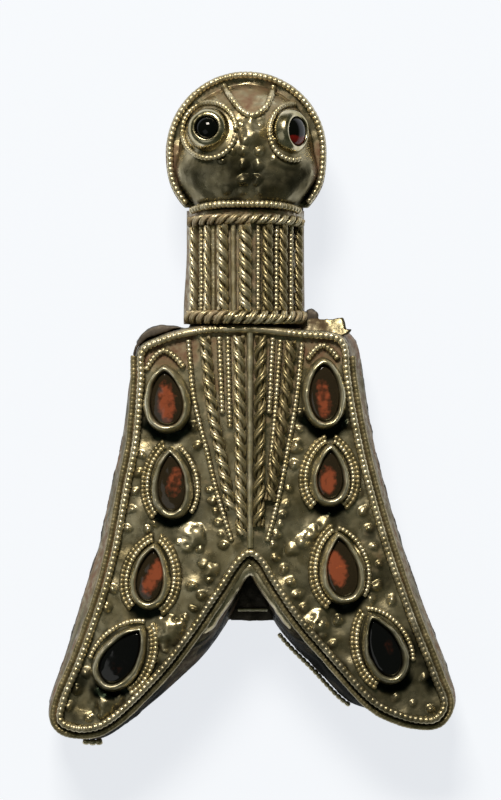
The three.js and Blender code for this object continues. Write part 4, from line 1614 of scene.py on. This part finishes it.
@dataclass
class Head:
    """The domed head with its eyes, the loop on its forehead and the wire round its rim."""

    trees: WireTrees
    x: float = -0.35
    y: float = 24.95
    radius: float = 7.8
    chin: float = 0.3
    flange: float = 7.6
    dome: float = 6.5
    rise: float = 4.5
    cut: float = 19.5
    rows: tuple = (
        PunchedRow((0.2, 26.7), (0.2, 26.7), 1, 1.7, 0.36),
        PunchedRow((-0.95, 27.55), (1.1, 27.45), 2, 0.5, 0.45),
        PunchedRow((-0.5, 26.1), (0.8, 26.1), 2, 0.65, 0.48),
        PunchedRow((-0.6, 25.0), (0.95, 24.9), 2, 0.6, 0.5),
        PunchedRow((-1.75, 24.8), (-2.7, 23.95), 2, 0.55, 0.5),
        PunchedRow((-0.6, 23.6), (0.8, 23.5), 2, 0.65, 0.52),
        PunchedRow((-0.6, 22.1), (0.65, 22.2), 2, 0.75, 0.55),
        PunchedRow((-2.3, 21.0), (0.95, 21.0), 3, 0.5, 0.22),
        PunchedRow((2.3, 25.9), (2.3, 25.9), 1, 0.5),
    )
    # Thin folds of the face: points along each, its width and its height.
    folds: tuple = (
        (((2.4, 24.1), (3.2, 23.6), (4.4, 23.4), (5.3, 23.7), (6.0, 24.2)), 0.28, 0.16),
        (((-7.0, 24.6), (-7.0, 23.2), (-6.7, 21.6), (-6.2, 19.6)), 0.25, 0.2),
        (((6.2, 23.4), (6.0, 22.2), (5.6, 21.2), (4.9, 20.2)), 0.3, 0.2),
        (((-2.4, 22.9), (0.0, 23.1), (2.6, 22.8)), 0.5, 0.1),
        (((-3.0, 21.7), (0.0, 21.75), (3.0, 21.5)), 0.45, 0.1),
    )
    loop: tuple = (
        (-2.6, 31.5), (-2.2, 30.7), (-1.55, 29.7), (-0.75, 28.75), (0.3, 28.35), (1.3, 28.95), (1.95, 29.95),
        (2.3, 31.4),
    )
    rim_turn: tuple = (-40, 221)  # where the rim's wire begins and ends, in degrees
    wire_points: int = 200
    sides: int = 330  # points round the sheet
    # The sheet's wall: share of the head's reach, and height.
    wall: tuple = ((0.96, LEDGE), (0.985, 5.6), (1.0, 6.6), (1.005, flange - 0.35))
    eyes: tuple = (
        EyeSetting("left", -3.95, 26.95, -11, 9, 2.15, 1.12, 1.5, -4.0, (2.62, 2.75), (0, 350)),
        EyeSetting("right", 3.95, 26.8, 52, 4, 2.25, 1.42, 0.95, 4.2, (2.3, 2.78), (82, 290)),
    )

    def reach(self, turn: Array) -> Array:
        """How far the head reaches in a direction, as a share of its radius: fuller at the chin."""
        return 1 + self.chin / self.radius * fade(-np.sin(turn), 0.05, 0.45)

    def height(self, x: Array, y: Array) -> Array:
        """Height of the plain dome and its flange."""
        reach = np.hypot(x - self.x, y - self.y)
        low = fade(self.y - y, -0.5, 2.5)
        share = np.clip(reach / (self.dome + 0.75 * low), 0, 1)
        return self.flange + (self.rise - 0.5 * low) * (1 - share ** (2 + 2.5 * low)) ** (0.7 - 0.15 * low)

    def build(self, palette: Palette, noise: Noise) -> None:
        """Makes the head and all that is on it, and hands it over.

        Args:
            palette: the finishes.
            noise: makes the pieces uneven.
        """
        self._casing(palette, noise)
        turn = np.radians(np.linspace(*self.rim_turn, self.wire_points))
        reach = (self.radius - 0.32) * self.reach(turn)
        rim = np.column_stack([reach * np.cos(turn) + self.x, reach * np.sin(turn) + self.y])
        rim = level(rim, self.flange + 0.3)
        self.trees.run(
            "beaded_head_rim", self.trees.beads, [rim], palette.wire,
            Radius=0.36, Pitch=0.5, Groove=0.34, Sides=10,
            nodes=["head_rim_wire"],
        )
        line = smooth_path(self.loop, 0.15)
        worn = 0.8 * fade(line[:, 1], 30.0, 30.6)
        line = np.column_stack([line, self.height(line[:, 0], line[:, 1]) + 0.3])
        self.trees.run(
            "beaded_forehead_loop", self.trees.beads, [line], palette.wire, marks={"worn": worn},
            Radius=0.34, Pitch=0.52, Groove=0.38,
            nodes=["forehead_loop"],
        )
        for eye in self.eyes:
            self._eye(eye, palette, noise)

    def _casing(self, palette: Palette, noise: Noise) -> None:
        """Makes the sheet of the head.

        Args:
            palette: the finishes.
            noise: makes the pieces uneven.
        """
        t = np.linspace(0, math.tau, self.sides, endpoint=False)
        ways = np.column_stack([np.cos(t), np.sin(t)])
        below = np.where(ways[:, 1] < -1e-6, (self.cut - self.y) / np.minimum(ways[:, 1], -1e-6), np.inf)
        limit = np.minimum(self.radius * self.reach(t), below)
        rings = []
        for part, height in self.wall:
            spots = ways * (limit * part)[:, None] + (self.x, self.y)
            ring = level(spots, height)
            ring[:, :2] += ways * (0.06 * noise.at(ring, 1.6, 2))[:, None]
            rings.append(ring)
        for part in np.linspace(1, 0.004, 84):
            spots = ways * (limit * part)[:, None] + (self.x, self.y)
            ring = np.column_stack([spots, self.height(spots[:, 0], spots[:, 1])])
            ring[:, 2] -= 0.12 * (part == 1)
            dents = 0.17 * noise.at(ring, 1.9, 2) + 0.03 * noise.at(ring, 0.7)
            ring[:, 2] += raised(ring, self.rows, noise) + dents * fade(1 - part, 0.02, 0.1)
            for path, width, rise in self.folds:
                away = distance_to(ring, smooth_path(path, 0.1))
                ring[:, 2] += rise * np.exp(-((away / width) ** 2)) * (part < 0.98)
            rings.append(ring)
        places = np.array(rings)
        flat = places.reshape(-1, 3)
        forehead = fade(flat[:, 1], 27.5, 29.0)
        face = 1 - fade(flat[:, 1], 23.5, 25.5)
        flank = fade(np.abs(flat[:, 0] - self.x), 6.0, 6.9) * (1 - fade(flat[:, 1], 25.0, 27.0))
        soil = np.clip(0.42 * forehead + 0.6 * flank + 0.25 * (1 - face) * noise.at(flat, 2.5, 2), 0, 0.7)
        # painted shade: the lower face, turned away from the light, is darkened in ragged patches
        grime = np.clip(0.6 * face + 0.3 * noise.at(flat, 1.7, 3), 0, 0.85) * face * (1 - 0.8 * flank)
        shell = Shell()
        shell.rings(places, soil=soil, grime=grime)
        hand_over(shell.build("head_sheet", palette.sheet), ["head_casing"])

    def _eye(self, eye: EyeSetting, palette: Palette, noise: Noise) -> None:
        """Makes one eye's collar, stone and ring of beads.

        Args:
            eye: the eye.
            palette: the finishes.
            noise: makes the collar uneven.
        """
        nod = Matrix.Rotation(math.radians(-eye.nod), 3, "X")
        facing = np.array(nod @ Matrix.Rotation(math.radians(eye.turn), 3, "Y")).T
        spot = np.array([eye.x, eye.y, float(self.height(np.array(eye.x), np.array(eye.y)))])
        t = np.linspace(0, math.tau, eye.around, endpoint=False)
        around = np.column_stack([np.cos(t), np.sin(t)])
        rings = []
        for reach, height in eye.section():
            ring = level(around * reach, height)
            wave = noise.at(ring + spot, 1.4, 2)
            ring[:, :2] += around * (0.04 * wave)[:, None]
            ring[:, 2] += 0.05 * wave * (height > 0.5)
            rings.append(ring @ facing + spot)
        shell = Shell()
        shell.rings(np.array(rings), tube=True)
        hand_over(shell.build("eye_rim_" + eye.side, palette.rim), ["eye_collar_" + eye.side])
        rings, glow = [], []
        for reach, height in eye.cabochon():
            ring = level(around * reach, height)
            glow.append(fade(-ring[:, 1], 0.2, 0.8) * (eye.side == "right"))
            rings.append(ring @ facing + spot)
        shell = Shell()
        shell.rings(np.array(rings), glow=np.array(glow))
        hand_over(shell.build("eye_stone_" + eye.side, palette.eye), ["eye_garnet_" + eye.side])
        turn = np.radians(np.linspace(*eye.span, 160))
        x = eye.ring_x + eye.ring[0] * np.cos(turn)
        y = eye.y + eye.ring[1] * np.sin(turn)
        ring = np.column_stack([x, y, self.height(x, y) + 0.34])
        self.trees.run(
            "eye_beads_" + eye.side, self.trees.beads, [ring], palette.wire,
            Radius=0.3, Pitch=0.42, Groove=0.42,
            nodes=["eye_ring_" + eye.side],
        )


# ------------------------------------------------------------------- core and back


@dataclass
class Core:
    """The grey metal under the gold: the back plate, its tongue and a broken shoulder."""

    trees: WireTrees
    voxel: float = 0.19
    tongue_lip: float = -19.8  # y of the fold at the tongue's edge
    lip_ends: tuple = (-1.2, 1.7)

    def build(self, palette: Palette, noise: Noise) -> None:
        """Makes the core and hands it over.

        Args:
            palette: the finishes.
            noise: makes the pieces uneven.
        """
        piece = node_copy(
            "silver_core_crust", "silver_core", palette.core,
            {"REMESH": {"mode": "VOXEL", "voxel_size": self.voxel * MM, "use_smooth_shade": True}},
        )
        roughen(piece, lambda p: 0.09 * noise.at(p, 1.1, 3) + 0.03 * noise.at(p, 0.3))
        hand_over(piece, ["silver_core"])
        lip = np.array([(x, self.tongue_lip, LEDGE + 0.15) for x in np.linspace(*self.lip_ends, 12)])
        self.trees.run(
            "folded_tongue_lip", self.trees.beads, [lip], palette.collar,
            Radius=0.2, Pitch=1.0, Groove=0.05, Sides=8,
            slot=Slot.CORE,
        )


@dataclass
class PinAndSpring:
    """The pin, its spring and axle, the bracket that holds them and the catch."""

    trees: WireTrees
    y: float = 20.5  # the axle
    z: float = 1.7
    tip: float = -18.2
    taper: float = 7.0  # how far from the tip the pin narrows
    shaft: float = 0.4  # the pin's radius
    eye: float = 0.83  # radius of the pin's loop round the axle
    coil: float = 1.08  # radius of the coil's middle line
    wire: float = 0.34  # radius of its wire
    turns: float = 2.5  # on each side
    bank: tuple = (1.15, 3.1)  # where a bank of turns begins and ends, from the middle
    bridge: float = 0.14  # share of the wire that runs round the pin
    clear: float = 0.5  # how much further out it does so

    def spring_line(self) -> Array:
        """The spring's line: a bank of turns each side, joined by a bridge round the pin."""
        t = np.linspace(-1, 1, 400)
        outward = np.abs(t)
        across = np.minimum(1, outward / self.bridge)
        wound = np.maximum(0, (outward - self.bridge) / (1 - self.bridge))
        start, end = self.bank
        x = np.sign(t) * (start * across + (end - start) * wound)
        reach = self.coil + self.clear * (1 - across**2)
        angle = wound * self.turns * math.tau
        return np.column_stack([x, self.y + reach * np.cos(angle), self.z + reach * np.sin(angle)])

    def build(self, palette: Palette) -> None:
        """Makes the pieces and hands them over.

        Args:
            palette: the finishes.
        """
        run, trees = self.trees.run, self.trees
        plain = {"Groove": 0.0, "Unevenness": 0.015, "Sides": 14}
        run(
            "wound_spring", trees.beads, [self.spring_line()], palette.pin,
            Radius=self.wire, Pitch=0.6, **plain,
            nodes=["pin_spring"],
            slot=Slot.PIN,
        )
        y = np.linspace(self.y - 0.75, self.tip, 160)
        shaft = np.column_stack([0.02 * np.sin(y / 5), y, np.full(160, self.z)])
        taper = np.clip((y - self.tip) / self.taper, 0.06, 1) ** 0.7
        t = np.linspace(0, math.tau, 60)
        eye = np.column_stack([np.zeros(60), self.y + self.eye * np.cos(t), self.z + self.eye * np.sin(t)])
        run(
            "drawn_pin", trees.beads, [shaft, eye], palette.pin,
            marks={"thick": np.concatenate([taper, np.full(60, 0.46)])},
            Radius=self.shaft, Pitch=0.6, **plain,
            nodes=["pin"],
            slot=Slot.PIN,
            body=Body.PIN,
        )
        bevel = {"width": 0.12 * MM, "segments": 3, "limit_method": "ANGLE", "harden_normals": False}
        for name, node in (
            ("filed_bracket", "spring_bracket"),
            ("filed_catch", "catch_plate"),
            ("turned_axle", "spring_axle"),
        ):
            piece = node_copy(name, node, palette.pin, {"BEVEL": bevel})
            hand_over(piece, [node])


# ---------------------------------------------------------------------------- studio


@dataclass
class Studio:
    """The pale floor, the lights and the camera, which looks straight down."""

    lens: float = 324.0
    distance: float = 0.71
    aim: tuple = (-0.2, 0.73)  # in mm
    reach: float = 3.0  # half the floor's side
    glow: tuple = (0.055, 0.16, 0.89, 0.22)  # where the floor's light fades, and from what to what
    room: tuple = (0.04, 0.048, 0.034, 1.0)

    def floor(self) -> None:
        """A pale sheet lit from behind, so that shadows stay faint."""
        material, tree, shader = new_material("backlit_paper")
        for name, value in {
            "Base Color": linear("#8c9096"),
            "Roughness": 1.0,
            "Specular IOR Level": 0.0,
            "Emission Color": linear("#eef1f6"),
        }.items():
            shader.inputs[name].default_value = value
        place = wired(tree, "ShaderNodeTexCoord", output="Object")
        away = wired(tree, "ShaderNodeVectorMath", {0: place}, operation="LENGTH", output="Value")
        tree.links.new(remap(tree, away, *self.glow), shader.inputs["Emission Strength"])
        mesh = bpy.data.meshes.new("floor")
        corners = [(x * self.reach, y * self.reach, 0) for x, y in ((-1, -1), (1, -1), (1, 1), (-1, 1))]
        mesh.from_pydata(corners, [], [(0, 1, 2, 3)])
        mesh.materials.append(material)
        show(bpy.data.objects.new("floor", mesh))

    def light(
        self, name: str, at: Sequence[float], size: Sequence[float], radiance: float, tint: str
    ) -> None:
        """Adds a soft panel aimed at the brooch.

        Args:
            name: the light's name.
            at: its place in metres.
            size: its sides in metres.
            radiance: how bright its face is.
            tint: its colour.
        """
        lamp = bpy.data.lights.new(name, "AREA")
        lamp.shape, lamp.size, lamp.size_y = "RECTANGLE", *size
        lamp.energy = radiance * math.pi * size[0] * size[1]
        lamp.color = linear(tint)[:3]
        obj = show(bpy.data.objects.new(name, lamp))
        obj.location = at
        obj.rotation_mode = "QUATERNION"
        obj.rotation_quaternion = (-Vector(at)).to_track_quat("-Z", "Y")
        obj.visible_camera = False

    def build(self) -> None:
        """Sets up the stage."""
        scene = bpy.context.scene
        scene.view_settings.view_transform = "Standard"
        world = bpy.data.worlds.new("dim_room")
        scene.world = world
        world.use_nodes = True
        back = world.node_tree.nodes["Background"]
        back.inputs["Color"].default_value = self.room
        self.floor()
        self.light("key_panel", (-0.2, 1.05, 1.15), (0.5, 0.4), 30.0, "#fff6e6")
        self.light("fill_panel", (-0.6, -0.45, 1.2), (0.8, 0.8), 0.4, "#f4f4f0")
        camera = bpy.data.cameras.new("camera")
        camera.lens, camera.sensor_width, camera.clip_start = self.lens, 36.0, 0.01
        eye = show(bpy.data.objects.new("camera", camera))
        eye.location = (self.aim[0] * MM, self.aim[1] * MM, self.distance)
        scene.camera = eye


SETTINGS = (
    WingSetting(
        "left_1", -8.05, 0.85, 4.8, 6.8, 4, ((-52, 52, 0.3),), (0.0, -0.3, 0.85, 1.9, 0, 0.72),
        arch=1.0, sharp=0.4,
    ),
    WingSetting(
        "left_2", -7.55, -7.3, 4.3, 7.2, 2, ((20, 142, 0.25), (20, 142, 0.7), (-25, -140, 0.3)),
        (0.3, 0.1, 0.8, 1.7, -15, 0.5), tarnish=0.15,
    ),
    WingSetting(
        "left_3", -9.6, -16.35, 4.1, 6.7, -8,
        ((12, 150, 0.25), (12, 150, 0.7), (-12, -150, 0.25), (-12, -150, 0.7)),
        (0.35, 0.0, 0.75, 2.0, -20, 0.75),
    ),
    WingSetting(
        "left_4", -12.4, -24.2, 4.7, 7.5, -35, ((5, 120, 0.3), (-15, -125, 0.25), (-15, -125, 0.7)),
        (0.1, -1.2, 0.7, 0.7, 0, 0.4), dark=True, tarnish=0.22,
    ),
    WingSetting(
        "right_1", 7.15, 1.4, 4.5, 7.1, 2, ((-45, 45, 0.3),), (-0.1, -0.6, 0.75, 2.0, 5, 0.62),
        arch=0.8, sharp=0.25,
    ),
    WingSetting(
        "right_2", 7.7, -6.55, 4.1, 6.3, -1,
        ((14, 148, 0.25), (14, 148, 0.7), (-14, -148, 0.25), (-14, -148, 0.7)),
        (-0.2, -0.6, 0.8, 1.4, 0, 0.72), tarnish=0.12,
    ),
    WingSetting(
        "right_3", 8.85, -15.6, 4.6, 7.25, 7, ((12, 148, 0.25), (12, 148, 0.7), (-6, -140, 0.3)),
        (-0.5, 0.1, 0.9, 1.7, 10, 0.85),
    ),
    WingSetting(
        "right_4", 12.9, -23.35, 4.5, 7.5, 22, ((18, 140, 0.25), (18, 140, 0.7), (4, -125, 0.3)),
        (0.5, -0.2, 0.6, 0.9, 0, 0.45), dark=True, tarnish=0.38,
    ),
)


def main() -> None:
    """Builds the brooch piece by piece, then the studio."""
    logging.basicConfig(level=logging.INFO, format="%(message)s")
    palette, trees, noise = Palette(), WireTrees(), Noise(11)
    casing = WingCasing(Border())
    casing.build(palette, noise, SETTINGS)
    WingWires(casing, trees).build(palette, noise)
    BaseWires(casing, trees).build(palette)
    for setting in SETTINGS:
        setting.build(casing, trees, palette, noise)
    Neck(trees).build(palette, noise)
    Head(trees).build(palette, noise)
    Core(trees).build(palette, noise)
    PinAndSpring(trees).build(palette)
    Studio().build()


if __name__ == "__main__":
    main()
